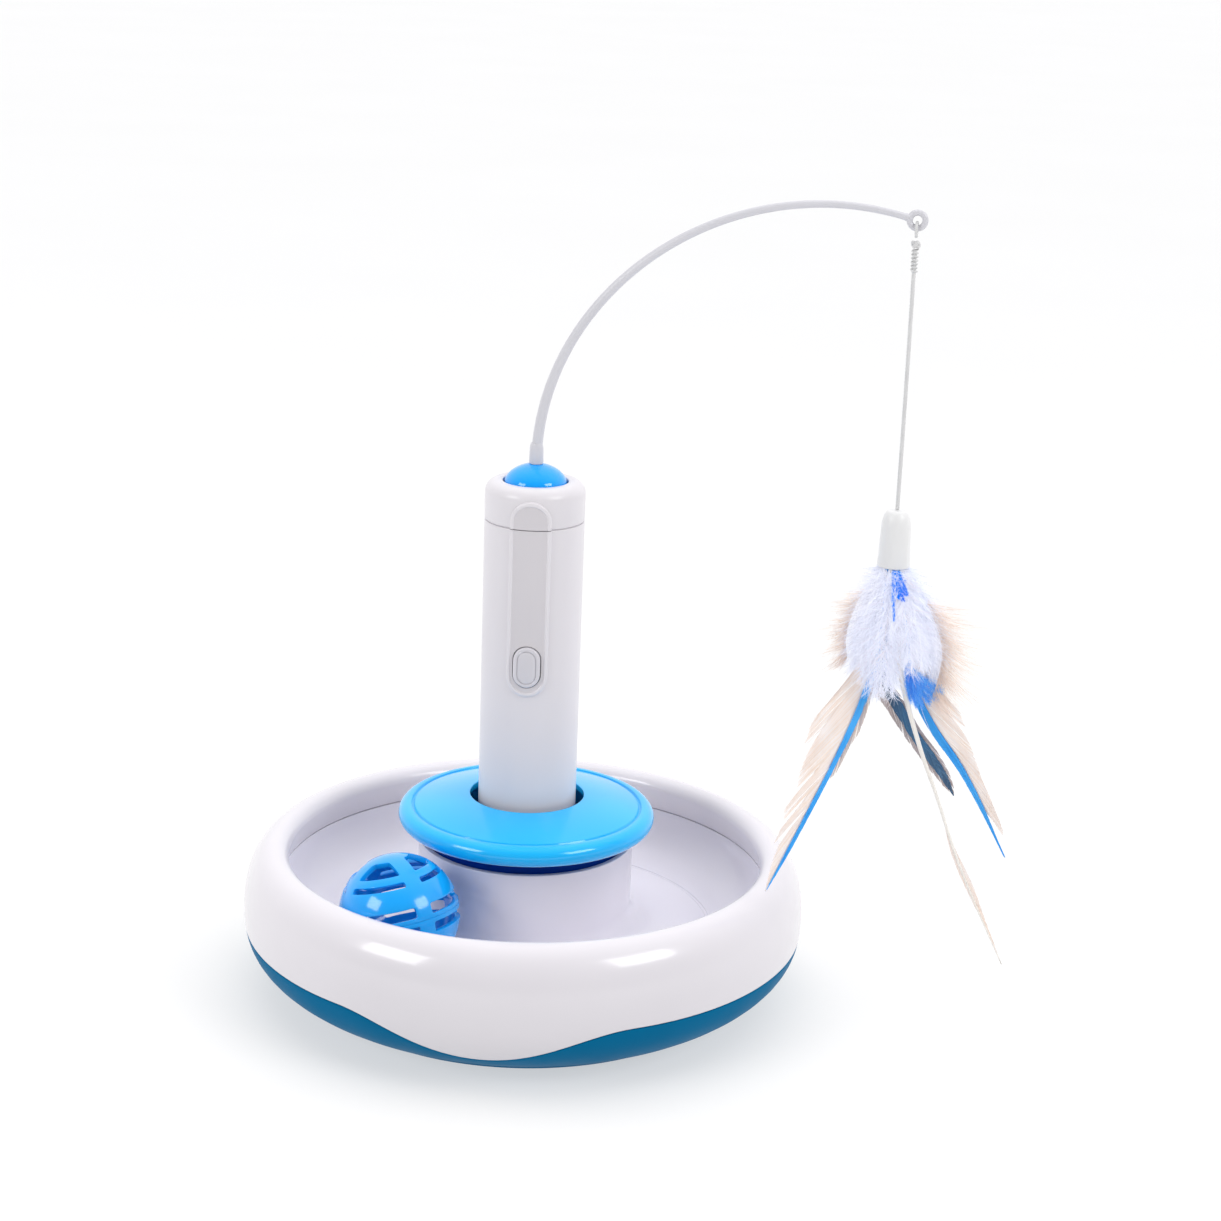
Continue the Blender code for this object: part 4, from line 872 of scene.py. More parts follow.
def tray_outline():
    """Track floor and wall, groove, hub wall and hub ledge."""
    top = seam_height - joint_gap / 2
    wall_span = seam_radius - track_edge_radius
    bowl = (track_edge_radius, floor_height + track_rise)
    upper = [(seam_radius, top)]
    upper += arc(bowl, (wall_span, track_rise), -16, -90, 16)
    groove_outer = track_edge_radius - groove_depth / 2
    upper += [
        (groove_outer, floor_height - groove_depth),
        (groove_outer - groove_width + groove_depth, floor_height - groove_depth),
        (groove_outer - groove_width, floor_height),
    ]
    fillet_centre = (hub_radius + hub_fillet, floor_height + hub_fillet)
    upper += arc(fillet_centre, (hub_fillet, hub_fillet), 270, 180, 12)
    ledge = hub_height - hub_ledge_drop
    hub_inside = hub_radius - tray_wall
    socket_hole = socket_radius + joint_gap
    upper += [(hub_radius, hub_height), (hub_inside, hub_height), (hub_inside, ledge), (socket_hole, ledge)]
    below_ledge = ledge - tray_wall
    lower = [(socket_hole, below_ledge), (hub_inside, below_ledge)]
    outer_fillet = hub_fillet + tray_wall
    lower += arc(fillet_centre, (outer_fillet, outer_fillet), 180, 270, 4)
    lower += arc(bowl, (wall_span + tray_wall, track_rise + tray_wall), -90, -20, 6)
    lower += [(seam_radius + tray_wall, top)]
    return eased(upper + lower, fine_round)


def socket_outline():
    """Cup for the handle with the neck's flange."""
    inside = handle_radius + joint_gap
    floor_under = socket_floor_height - socket_floor_wall
    rest = hub_height - hub_ledge_drop + joint_gap
    flange_under = neck_height - socket_wall
    outline = [
        (0, floor_under),
        (socket_radius, floor_under),
        (socket_radius, flange_under),
        (neck_radius - socket_wall, flange_under),
        (neck_radius - socket_wall, rest),
        (neck_radius, rest),
        (neck_radius, neck_height),
        (socket_radius, neck_height),
        (socket_radius, socket_top),
        (inside, socket_top),
        (inside, socket_floor_height),
        (0, socket_floor_height),
    ]
    return eased(outline, fine_round, closed=False)


def disc_outline():
    """Shallow cone with a groove and a rim roll, and a rib below."""
    bulge = (disc_top - disc_bottom) / 2
    groove_end = disc_plate_radius + disc_groove_width
    rim_centre = (disc_radius - bulge, disc_top - bulge)
    under = disc_top - disc_wall
    skirt_inside = rim_centre[0] - disc_wall / 2
    rib_inside = disc_rib_radius - disc_wall
    slope = disc_plate_rise / (disc_plate_radius - disc_hole_radius)

    def rise_at(radius):
        return slope * (disc_plate_radius - radius)

    outline = [
        (disc_hole_radius, under + disc_plate_rise),
        (disc_hole_radius, disc_top + disc_plate_rise),
        (disc_plate_radius, disc_top),
        (disc_plate_radius + disc_groove_width / 3, disc_top - disc_groove_depth),
        (groove_end - disc_groove_width / 3, disc_top - disc_groove_depth),
        (groove_end, disc_top),
    ]
    outline += arc(rim_centre, (bulge, bulge), 90, -90, 24)[1:]
    outline += [
        (skirt_inside, disc_bottom + disc_wall / 4),
        (skirt_inside, under),
        (disc_plate_radius, under),
        (disc_rib_radius, under + rise_at(disc_rib_radius)),
        (disc_rib_radius, disc_bottom),
        (rib_inside, disc_bottom),
        (rib_inside, under + rise_at(rib_inside)),
    ]
    return eased(outline, fine_round, sharpest=155)


def fixing_matrices(offset):
    """Places of one set of fixings on their circle, half a pattern apart from the other set."""
    spacing = 2 * math.pi / dip_count
    places = []
    for index in range(dip_count):
        azimuth = first_dip_azimuth + (offset + index) * spacing
        places.append(Matrix.Rotation(azimuth, 4, "Z") @ Matrix.Translation((fixing_circle_radius, 0, 0)))
    return places


def build_base():
    """Shell with its seats, ring, tray with its bosses, socket and disc."""
    shell = make_piece("shell_skin", turned(shell_outline, shell_steps), ["shell_blue"], "base",
                       ["base_shell"])
    seats = []
    foot_seat_radius = foot_radius + joint_gap
    for offset, radius, top, steps in ((0, foot_seat_radius, foot_seat_top, sleeve_steps),
                                       (0.5, screw_well_radius, screw_well_top, fixing_steps)):
        seat = [(0, -wall), (radius, -wall), (radius, top), (0, top)]
        seats += [placed(turned(seat, steps), here) for here in fixing_matrices(offset)]
    cut(shell, joined(seats))
    make_piece("ring_skin", turned(ring_outline, ring_steps), ["gloss_white"], "base", ["rim_ring"])
    boss_top = floor_height - tray_wall / 2
    boss = [
        (boss_bore_radius, boss_bottom),
        (boss_radius, boss_bottom),
        (boss_radius, boss_top),
        (boss_bore_radius, boss_top),
    ]
    bosses = [placed(turned(boss, fixing_steps), here) for here in fixing_matrices(0.5)]
    make_piece("tray_skin", joined([turned(tray_outline(), tray_steps)] + bosses), ["tray_white"], "base",
               ["track_tray"])
    socket = joined([turned(socket_outline(), round_steps)] + socket_clips())
    make_piece("socket_skin", socket, ["dark_blue"], "base", ["socket_cup"])
    make_piece("disc_skin", turned(disc_outline(), disc_steps), ["sky_blue"], "base", ["deck_disc"])


def socket_clips():
    """Small ribbed clips on both sides of the socket's collar, seen in the gap beside the handle."""
    clips = []
    middle = socket_radius - clip_thickness / 2
    for side in (-1, 1):
        centre = (side * middle, 0, socket_top + clip_rib_pitch / 2)
        clips.append(box(clip_thickness, clip_width, clip_rib_pitch, centre))
        for rib in range(clip_rib_count):
            height = socket_top - rib * clip_rib_pitch
            place = (side * (socket_radius + clip_thickness / 2), 0, height)
            clips.append(box(clip_thickness, clip_width, clip_rib_height, place))
    return clips


# Ball


def slot_cutter(low_degrees, high_degrees, panel):
    """Solid that cuts one slot between two ribs, its ends rounded, reaching through the ball's wall."""
    low = math.radians(low_degrees)
    high = math.radians(high_degrees)
    spacing = 2 * math.pi / ball_rib_count
    corner = ball_slot_round / ball_radius
    quarter = [math.pi / 2 * piece / ball_corner_pieces for piece in range(ball_corner_pieces + 1)]
    rounded = [(corner * (1 - math.cos(angle)), corner * (1 - math.sin(angle))) for angle in quarter]
    # Share of the slot's length, and how far in from its end and from its long edges
    stations = [(0, along, inset) for along, inset in rounded]
    stations += [(share, corner, 0) for share in shares(ball_slot_pieces)[1:-1]]
    stations += [(1, along, inset) for along, inset in reversed(rounded)]
    bm = bmesh.new()
    rows = []
    for share, along, inset in stations:
        column = []
        for latitude in (low + inset, high - inset):
            half_rib = math.asin(ball_rib_width / 2 / ball_radius / math.cos(latitude))
            shift = half_rib + along / math.cos(latitude)
            longitude = panel * spacing + shift + (spacing - 2 * shift) * share
            for radius in (ball_radius - 2 * ball_wall, ball_radius + ball_wall):
                flat = radius * math.cos(latitude)
                place = (flat * math.cos(longitude), flat * math.sin(longitude), radius * math.sin(latitude))
                column.append(bm.verts.new(place))
        rows.append(column)
    for before, after in zip(rows, rows[1:]):
        for first, second in ((0, 1), (1, 3), (3, 2), (2, 0)):
            bm.faces.new((before[first], before[second], after[second], after[first]))
    bm.faces.new([rows[0][index] for index in (0, 2, 3, 1)])
    bm.faces.new([rows[-1][index] for index in (0, 1, 3, 2)])
    return bm


def half_ball():
    """Half the hollow ball, outside and inside, each from the seam over the pole."""
    start = math.degrees(math.asin(ball_seam / 2 / ball_radius))
    bm = bmesh.new()
    seams = []
    for size in (ball_radius, ball_radius - ball_wall):
        rings = []
        for radius, height in arc((0, 0), (size, size), start, 90, ball_arc_pieces)[:-1]:
            centre = Vector((0, 0, height))
            circle = circle_points(centre, radius, Vector((1, 0, 0)), Vector((0, 1, 0)), ball_steps)
            rings.append([bm.verts.new(place) for place in circle])
        pole = bm.verts.new((0, 0, size))
        for lower, upper in zip(rings, rings[1:]):
            bridge(bm, lower, upper)
        for step in range(ball_steps):
            bm.faces.new((rings[-1][step], rings[-1][(step + 1) % ball_steps], pole))
        seams.append(rings[0])
    outside, inside = seams
    for step in range(ball_steps):
        beyond = (step + 1) % ball_steps
        bm.faces.new((outside[step], inside[step], inside[beyond], outside[beyond]))
    return bm


def build_ball():
    """Two lattice halves, cut at the pole's attitude and then laid on the track."""
    centre = Matrix.Translation((ball_orbit_radius, 0, floor_height + joint_gap + ball_radius))
    lean = Matrix.Rotation(ball_pole_azimuth - ball_azimuth, 4, "Z") @ Matrix.Rotation(ball_pole_tilt, 4, "Y")
    lean = lean @ Matrix.Rotation(ball_rib_turn, 4, "Z")
    place = Matrix.Rotation(ball_azimuth, 4, "Z") @ centre @ lean
    flips = {"upper": Matrix.Identity(4), "lower": Matrix.Rotation(math.pi, 4, "X")}
    bevel = {"width": ball_edge_round, "segments": 2, "limit_method": "ANGLE",
             "angle_limit": math.radians(ball_bevel_degrees)}
    for name, flip in flips.items():
        piece = make_piece(f"ball_lattice_{name}", half_ball(), ["ball_blue"], "ball", [f"ball_half_{name}"])
        panels = range(ball_rib_count)
        slots = [slot_cutter(low, high, panel) for low, high in ball_slot_rows for panel in panels]
        cut(piece, joined(slots))
        reshape(piece, "BEVEL", bevel, ball_sharp_degrees)
        piece.data.transform(place @ flip)


# Handle pieces


def on_handle(x, y, rise):
    """A flat place on the strip, wrapped around the front of the handle."""
    angle = x / handle_radius
    radius = handle_radius + rise
    middle = strip_top_height - strip_length / 2
    return radius * math.sin(angle), -radius * math.cos(angle), middle + y


def on_button(x, y, rise):
    """A place on the button's face, which is flat."""
    face = handle_radius + strip_proud + button_proud
    return x, -face - rise, button_height + y


def button_hole():
    """Cutter for the well that the button stands in."""
    outline = oblong(button_width + 2 * joint_gap, button_length + 2 * joint_gap)
    bm = bmesh.new()
    front = -handle_radius - 2 * strip_proud - button_proud
    back = front + button_cut_depth + 2 * strip_proud
    near, far = ([bm.verts.new((x, depth, button_height + y)) for x, y in outline] for depth in (front, back))
    bridge(bm, near, far)
    bm.faces.new(list(reversed(near)))
    bm.faces.new(far)
    return bm


def rounded_edge(radius, top):
    """Insets and rises around an edge's round, after its first point."""
    quarter = arc((0, 0), (radius, radius), 0, 90, 5)[1:]
    return [(radius - across, top - radius + up) for across, up in quarter]


def strip_shape(keep_above, height):
    """The raised strip, cut at the seam so that one part goes with the cap and one with the body."""
    profile = [(0.0, -strip_root), (0.0, strip_proud - strip_round)]
    profile += rounded_edge(strip_round, strip_proud)
    inside = strip_rim + strip_step
    profile += [(strip_rim, strip_proud), (inside, strip_proud - strip_step)]
    columns = 6
    flat = strip_width / 2 - inside
    profile += [(inside + flat * column / columns, strip_proud - strip_step) for column in range(1, columns)]
    bm = oblong_loft(strip_width, strip_length, profile, on_handle, inside)
    geometry = bm.verts[:] + bm.edges[:] + bm.faces[:]
    cut_result = bmesh.ops.bisect_plane(bm, geom=geometry, plane_co=(0, 0, height), plane_no=(0, 0, 1),
                                        clear_outer=not keep_above, clear_inner=keep_above)
    edges = [item for item in cut_result["geom_cut"] if isinstance(item, bmesh.types.BMEdge)]
    bmesh.ops.holes_fill(bm, edges=edges, sides=0)
    return bm


def build_handle():
    """Tube with the button's well, its part of the strip, and the collar with the rest of the strip."""
    seam_low = cap_seam_height - joint_gap / 2
    seam_high = cap_seam_height + joint_gap / 2
    bore = handle_radius - handle_wall
    bottom = battery_cap_bottom + battery_cap_height + joint_gap
    heights = steps_between(bottom, seam_low, handle_ring_count)
    tongue_top = seam_high + tongue_height
    tube_outline = [(handle_radius, height) for height in heights]
    tube_outline += [(handle_radius - tongue_inset, seam_low), (handle_radius - tongue_inset, tongue_top)]
    tube_outline += [(bore, tongue_top)] + [(bore, height) for height in reversed(heights)]
    body = make_piece("handle_tube", turned(eased(tube_outline, seam_round), handle_steps), ["handle_white"],
                      "handle", ["handle_body"])
    cut(body, button_hole())
    strip_looks = ["handle_white", "strip_grey"]
    lower_strip = make_piece("strip_lower", strip_shape(False, seam_low), strip_looks, "handle")
    cut(lower_strip, button_hole(), strip_sharp_degrees)
    centre = (handle_radius - cap_round, cap_top_height - cap_round)
    inner_round = cap_round - handle_wall
    cap = [(handle_radius, seam_high)]
    cap += arc(centre, (cap_round, cap_round), 0, 90, 12)
    cap += [
        (cap_opening_radius, cap_top_height),
        (cap_opening_radius, cap_top_height - handle_wall),
        (centre[0], cap_top_height - handle_wall),
    ]
    cap += arc(centre, (inner_round, inner_round), 60, 0, 4)
    cap += [(bore, seam_high)]
    make_piece("handle_collar", turned(eased(cap, seam_round), handle_steps), ["handle_white"], "handle",
               ["handle_cap"])
    make_piece("strip_upper", strip_shape(True, seam_high), strip_looks, "handle",
               sharp_degrees=strip_sharp_degrees)


def build_button():
    """Rounded rim, fine groove and a pad within it."""
    profile = [(0.0, -button_depth), (0.0, -button_round)]
    profile += rounded_edge(button_round, 0)
    profile += [
        (button_rim, 0.0),
        (button_rim, -button_groove),
        (button_rim + button_groove, -button_groove),
        (button_rim + button_groove, -button_groove / 3),
        (button_rim + 2 * button_groove, 0.0),
        (button_rim + 5 * button_groove, button_groove / 2),
    ]
    make_piece("button_pad", oblong_loft(button_width, button_length, profile, on_button), ["button_grey"],
               "button", ["button_cap"], sharp_degrees=50)


def build_battery_cap():
    """Lid of the battery space with its plug and a slot for a coin."""
    bottom = battery_cap_bottom
    top = bottom + battery_cap_height
    plug = handle_radius - handle_wall - joint_gap
    plug_top = top + battery_plug_height
    outline = [
        (0, bottom),
        (handle_radius, bottom),
        (handle_radius, top),
        (plug, top),
        (plug, plug_top),
        (plug - handle_wall, plug_top),
        (plug - handle_wall, bottom + handle_wall),
        (0, bottom + handle_wall),
    ]
    cap = make_piece("battery_lid", turned(eased(outline, seam_round, closed=False), round_steps),
                     ["handle_white"], "battery_door", ["battery_cap"])
    cut(cap, box(coin_slot_length, coin_slot_width, 2 * coin_slot_depth, (0, 0, bottom)))


# Rotor pieces


def rod_point(share):
    """A point on the rod's centreline, in the rod's own upright plane."""
    start = Vector((0, 0, dome_top_height + joint_gap))
    end = Vector((rod_reach, 0, rod_end_height))
    first = start + Vector((0, 0, rod_base_pull))
    second = end + Vector((-math.cos(rod_tip_fall), 0, math.sin(rod_tip_fall))) * rod_tip_pull
    rest = 1 - share
    return (start * rest ** 3 + first * 3 * rest ** 2 * share
            + second * 3 * rest * share ** 2 + end * share ** 3)


def build_rotor():
    """Dome, rod, sleeve and eye."""
    outline = [
        (0, dome_underside),
        (dome_bore_radius, dome_underside),
        (dome_bore_radius, dome_flange_low),
        (dome_flange_radius, dome_flange_low),
        (dome_flange_radius, dome_flange_top),
        (dome_radius, dome_flange_top),
    ]
    rise = dome_top_height - dome_rim_height
    dome_curve = arc((0, dome_rim_height), (dome_radius, rise), 0, 90, 20)
    for radius, height in dome_curve[:-1]:
        straight = dome_rim_height + rise * (1 - radius / dome_radius)
        outline.append((radius, height + (straight - height) * dome_cone_share))
    outline += [(0, dome_top_height)]
    make_piece("dome_skin", turned(eased(outline, fine_round, closed=False), round_steps), ["dome_blue"],
               "rotor", ["rotor_dome"])
    turn = Matrix.Rotation(math.atan2(rod_outwards.y, rod_outwards.x), 4, "Z")
    points = [rod_point(share) for share in shares(rod_stations - 1)]

    def rod_radius(share):
        return rod_base_radius + (rod_tip_radius - rod_base_radius) * share

    make_piece("rod_skin", placed(tube(points, rod_radius, rod_sides), turn), ["rod_white"], "rotor",
               ["lure_rod"])
    inner = rod_base_radius - fine_round
    outer = rod_base_radius + sleeve_wall
    sleeve = [
        (inner, sleeve_low),
        (outer, sleeve_low),
        (outer - sleeve_wall / 5, sleeve_low + sleeve_height * 3 / 4),
        (rod_base_radius + sleeve_wall / 4, sleeve_low + sleeve_height),
        (inner, sleeve_low + sleeve_height),
    ]
    make_piece("sleeve_skin", turned(eased(sleeve, fine_round), sleeve_steps), ["rod_white"], "rotor",
               ["rod_sleeve"])
    build_eye(turn)


def build_eye(turn):
    """The eye's ring ahead of the rod's tip, with the neck that joins them."""
    tip = rod_point(1)
    ahead = Vector((math.cos(rod_tip_fall), 0, -math.sin(rod_tip_fall)))
    centre = tip + ahead * (joint_gap + eye_wire_radius + eye_ring_radius)
    ring = circle_points(centre, eye_ring_radius, Vector((1, 0, 0)), Vector((0, 0, 1)), eye_points)
    neck_points = [tip.lerp(centre, share) for share in eye_neck_shares]

    def neck_radius_at(share):
        return rod_tip_radius * (1.0 + eye_neck_swell * math.sin(math.pi * share))

    shapes = [
        tube(ring, lambda share: eye_wire_radius, eye_sides, closed=True),
        tube(neck_points, neck_radius_at, eye_neck_sides),
    ]
    make_piece("eye_skin", placed(joined(shapes), turn), ["rod_white"], "rotor", ["rod_eye"])


# String


def smooth_route(route, pieces):
    """Points on a smooth curve through the route's own points."""
    points = [Vector(point) for point in route]
    ahead = points[-1] * 2 - points[-2]
    behind = points[0] * 2 - points[1]
    extended = [behind, *points, ahead]
    result = [points[0]]
    for run in range(len(points) - 1):
        before, start, end, after = extended[run:run + 4]
        for share in shares(pieces)[1:]:
            result.append((start * 2 + (end - before) * share
                           + (before * 2 - start * 5 + end * 4 - after) * share ** 2
                           + (start * 3 - before - end * 3 + after) * share ** 3) / 2)
    return result


def in_world(point):
    """A point given from the knot, in the scene."""
    return knot_place + rod_outwards * point[0] + rod_across * point[1] + Vector((0, 0, point[2]))


def denser(points, step):
    """The same line with a point at least every step."""
    result = []
    for start, end in zip(points, points[1:]):
        pieces = max(1, math.ceil((end - start).length / step))
        result += [start.lerp(end, share) for share in shares(pieces)[:-1]]
    return result + [points[-1]]


def build_string():
    """The string itself, its loop in the eye and its knot."""
    route = [in_world(point) for point in smooth_route(string_route, string_pieces_per_run)]
    line = denser(route, string_lay_pitch / lay_points_per_turn)
    rope_shape = tube(line, lambda share: string_radius, string_sides, string_plies, string_lay_pitch)
    rope = make_piece("string_cord", rope_shape, ["white_string"], "lure", ["lure_string"], sharp_degrees=180)
    up = Vector((0, 0, 1))
    loop_drop = eye_ring_radius - eye_wire_radius - joint_gap - loop_wire_radius + loop_ring_radius
    loop_centre = Vector(joints["lure_swing"]["pos_m"]) - up * loop_drop
    loop_line = circle_points(loop_centre, loop_ring_radius, rod_across, up, loop_points)
    loop_shape = tube(loop_line, lambda share: loop_wire_radius, eye_sides, string_plies, loop_pitch())
    loop = make_piece("loop_cord", loop_shape, ["white_string"], "link", ["string_loop"], sharp_degrees=180)
    knot = make_piece("knot_cord", knot_shape(), ["white_string"], "lure", ["string_knot"], sharp_degrees=180)


def loop_pitch():
    """Lay of the loop's cord, a whole number of turns around it."""
    length = 2 * math.pi * loop_ring_radius
    return length / round(length / string_lay_pitch)


def knot_shape():
    """A small overhand knot with a whipping of turns below it."""
    swing = knot_radius * knot_swing_share
    turns = []
    for index in range(knot_points):
        angle = 2 * math.pi * index / knot_points
        x = swing * (math.sin(angle) + 2 * math.sin(2 * angle)) / knot_curve_reach
        y = swing * (math.cos(angle) - 2 * math.cos(2 * angle)) / knot_curve_reach
        z = -swing * math.sin(3 * angle) * knot_depth_share
        turns.append(in_world((x, y, z)))
    coil_radius = string_radius + knot_wire_radius * whipping_seat_share
    coil_pieces = whipping_turns * whipping_points_per_turn
    coil = []
    for index in range(coil_pieces + 1):
        angle = 2 * math.pi * index / whipping_points_per_turn
        drop = whipping_length * index / coil_pieces
        x = coil_radius * math.cos(angle)
        y = coil_radius * math.sin(angle)
        coil.append(in_world((x, y, -knot_radius - drop)))
    return joined([
        tube(turns, lambda share: knot_wire_radius, knot_sides, closed=True),
        tube(coil, lambda share: knot_wire_radius * whipping_wire_share, whipping_sides),
    ])


# Lure pieces


def build_ferrule():
    """White cap over the feathers' roots, hollow from below."""
    top = knot_place.z + string_route[-1][2] - joint_gap
    mouth = top - ferrule_length
    shoulder = ferrule_shoulder_radius - ferrule_top_radius
    outline = [(0, top)]
    outline += arc((ferrule_top_radius, top - ferrule_shoulder_height), (shoulder, ferrule_shoulder_height),
                   90, 0, 14)
    outline += [
        (ferrule_radius, mouth),
        (ferrule_bore_radius, mouth),
        (ferrule_bore_radius, mouth + ferrule_bore_depth),
        (0, mouth + ferrule_bore_depth),
    ]
    place = Matrix.Translation((knot_place.x, knot_place.y, 0))
    shape = turned(eased(outline, fine_round, closed=False), ferrule_steps)
    make_piece("ferrule_skin", placed(shape, place), ["ferrule_white"], "lure", ["ferrule"])


def add_ribbon(bm, points, widths, normal, slot):
    """A flat strip along the points, turned to face the normal."""
    rows = []
    last = len(points) - 1
    for index, point in enumerate(points):
        ahead = points[min(index + 1, last)] - points[max(index - 1, 0)]
        side = ahead.cross(normal)
        if side.length == 0:
            side = ahead.orthogonal()
        side = side.normalized() * (widths[index] / 2)
        rows.append((bm.verts.new(point - side), bm.verts.new(point + side)))
    for lower, upper in zip(rows, rows[1:]):
        face = bm.faces.new((lower[0], lower[1], upper[1], upper[0]))
        face.material_index = slot


class Quill:
    """A feather's quill: a smooth line through lure points, with places along it by share of its length."""

    def __init__(self, route):
        self.line = [lure_point(*place) for place in smooth_route(route, quill_pieces_per_run)]
        self.at = [0.0]
        for before, after in zip(self.line, self.line[1:]):
            self.at.append(self.at[-1] + (after - before).length)
        self.length = self.at[-1]

    def place(self, share):
        """Point and direction at a share of the length."""
        wanted = max(0.0, min(1.0, share)) * self.length
        low = 0
        while low < len(self.at) - 2 and self.at[low + 1] < wanted:
            low += 1
        run = (wanted - self.at[low]) / (self.at[low + 1] - self.at[low])
        point = self.line[low].lerp(self.line[low + 1], run)
        last = len(self.line) - 1
        first_way = (self.line[min(low + 1, last)] - self.line[max(low - 1, 0)]).normalized()
        second_way = (self.line[min(low + 2, last)] - self.line[low]).normalized()
        return point, first_way.lerp(second_way, run).normalized()


def table_at(table, share):
    """Value of a table of (share, value) rows, straight between rows."""
    if share <= table[0][0]:
        return table[0][1]
    for (start, first), (end, second) in zip(table, table[1:]):
        if share <= end:
            return first + (second - first) * (share - start) / (end - start)
    return table[-1][1]


def add_vane(bm, quill, facing, sign, outline, angles, count, slots, seed, barb_width, lift, clump):
    """One section of a vane. Its barbs leave the quill at a low angle and end along the outline.

    The outline is (share of the quill, millimetres from it) rows, and the barbs end in small gathered points.
    """
    chance = random.Random(seed)
    outline = [(share, distance * MM) for share, distance in outline]
    start, end = outline[0][0], outline[-1][0]
    height = 0.0
    for index in range(count):
        if index % clump == 0:
            height = chance.uniform(0.1, 1.0) * lift
        along_share = index / (count - 1)
        middle = (index // clump + 0.5) * clump / (count - 1)
        shown = along_share + (middle - along_share) * barb_gather_share * chance.uniform(0.4, 1.0)
        share = start + (end - start) * min(1.0, shown)
        reach = table_at(outline, share) * chance.uniform(0.95, 1.02)
        angle = angles[0] + (angles[1] - angles[0]) * along_share
        back = reach / math.tan(angle) / quill.length
        own_share = start + (end - start) * along_share
        root, way = quill.place(own_share - back)
        tip_point, tip_way = quill.place(share)
        side = tip_way.cross(facing).normalized() * sign
        root_side = way.cross(facing).normalized() * sign
        tip = tip_point + side * reach
        splay = angle * barb_splay_share
        chord = (tip - root).length
        bend = root + (way * math.cos(splay) + root_side * math.sin(splay)) * (chord * barb_bend_share)
        points = []
        widths = []
        for step in shares(barb_pieces):
            points.append(curved(root, bend, tip, step)
                          + facing * (height * math.sin(math.pi * step) + height * step / 2))
            widths.append(barb_width * (1 - barb_taper_share * step ** 2))
        slot = slots[0] if chance.random() < first_look_share else slots[-1]
        add_ribbon(bm, points, widths, facing, slot)


def add_quill(bm, quill, base_radius, tip_radius, facing):
    """The quill itself: a tapering tube of few sides along the feather's curve, in the first look."""
    rings = []
    for share in shares(quill_pieces):
        point, along = quill.place(share)
        side = along.cross(facing).normalized()
        radius = base_radius + (tip_radius - base_radius) * share
        circle = circle_points(point, radius, side, side.cross(along), quill_sides)
        rings.append([bm.verts.new(place) for place in circle])
    for lower, upper in zip(rings, rings[1:]):
        bridge(bm, lower, upper)
    for ring in (rings[0], rings[-1]):
        bm.faces.new(ring)


def feather_piece(name, bm, look_names, node):
    """Barbs on the lure, drawn as flat strips; they stand for a node where one is given."""
    make_piece(name, bm, look_names, "lure", [node] if node else [], sharp_degrees=180, tidy=False)


def build_feather(node, look_names, route, facing, radii, vanes, raised=(), raise_by=0.0):
    """A feather on its quill, with a raised layer of barbs in front where one is given.

    The route is in millimetres, in the lure's frame. Each vane is its side of the quill, its outline,
    the barbs' angles at both ends, their number, their looks, a seed, their width, their lift and
    how many gather in one clump.
    """
    quill = Quill([tuple(value * MM for value in place) for place in route])
    back = bmesh.new()
    add_quill(back, quill, *radii, facing)
    front = bmesh.new()
    for bm, rows in ((back, vanes), (front, raised)):
        for vane in rows:
            add_vane(bm, quill, facing, *vane)
    bmesh.ops.translate(front, verts=front.verts, vec=facing * raise_by)
    feather_piece(f"{node}_barbs", joined([back, front]), look_names, node)


def build_feather_left():
    """Long feather to the left: bright blue along its quill, ivory and peach on the outer side."""
    route = (
        (-1.9, 0.0, 158.9), (-2.5, -4.0, 133.5), (-5.0, -6.0, 124.0), (-7.5, -8.5, 114.0),
        (-10.5, -11.5, 105.0), (-15.0, -15.5, 93.5), (-20.0, -20.5, 82.0), (-26.0, -26.0, 68.5),
        (-32.0, -32.5, 55.5),
    )
    outer = (
        (((0.24, 3.0), (0.34, 6.6), (0.41, 9.6), (0.5, 12.6), (0.575, 11.8)), (0.4, 0.42), 230),
        (((0.42, 5.0), (0.5, 8.2), (0.58, 9.6), (0.66, 8.8), (0.695, 7.2)), (0.36, 0.36), 220),
        (((0.6, 3.8), (0.66, 4.8), (0.72, 6.6), (0.77, 7.6), (0.795, 6.2)), (0.3, 0.3), 180),
        (((0.72, 3.2), (0.79, 4.6), (0.83, 5.6), (0.87, 5.2)), (0.26, 0.26), 120),
        (((0.8, 2.2), (0.865, 3.6), (0.92, 2.7), (0.97, 1.2), (1.0, 0.1)), (0.22, 0.12), 150),
    )
    vanes = [(1, outline, angles, count, (1, 2), 11 + index, vane_barb_width, vane_lift, 12)
             for index, (outline, angles, count) in enumerate(outer)]
    grey = (
        (0.27, 1.2), (0.34, 2.6), (0.39, 3.2), (0.48, 3.6), (0.52, 2.6), (0.56, 2.6), (0.61, 2.4),
        (0.65, 0.3),
    )
    vanes.append((-1, grey, (0.34, 0.2), 240, (3, 2), 17, grey_barb_width, close_lift, 12))
    blue_inner = (
        (0.25, 0.8), (0.34, 1.6), (0.38, 1.8), (0.47, 1.4), (0.58, 1.0), (0.71, 0.9), (0.85, 0.8),
        (0.95, 0.4), (1.0, 0.06),
    )
    blue_outer = ((0.3, 0.5), (0.45, 0.7), (0.7, 0.6), (0.9, 0.4), (1.0, 0.05))
    raised = (
        (-1, blue_inner, (0.14, 0.09), 380, (0, 0), 18, fine_barb_width, blue_lift, 20),
        (1, blue_outer, (0.12, 0.08), 260, (0, 0), 19, blue_outer_barb_width, blue_lift, 20),
    )
    facing = (-rod_across + rod_outwards * 0.3).normalized()
    build_feather("feather_left", ["blue_vane", "peach_vane", "peach_web", "grey_vane"], route,
                  facing, long_quill_radii, vanes, raised, blue_raise)


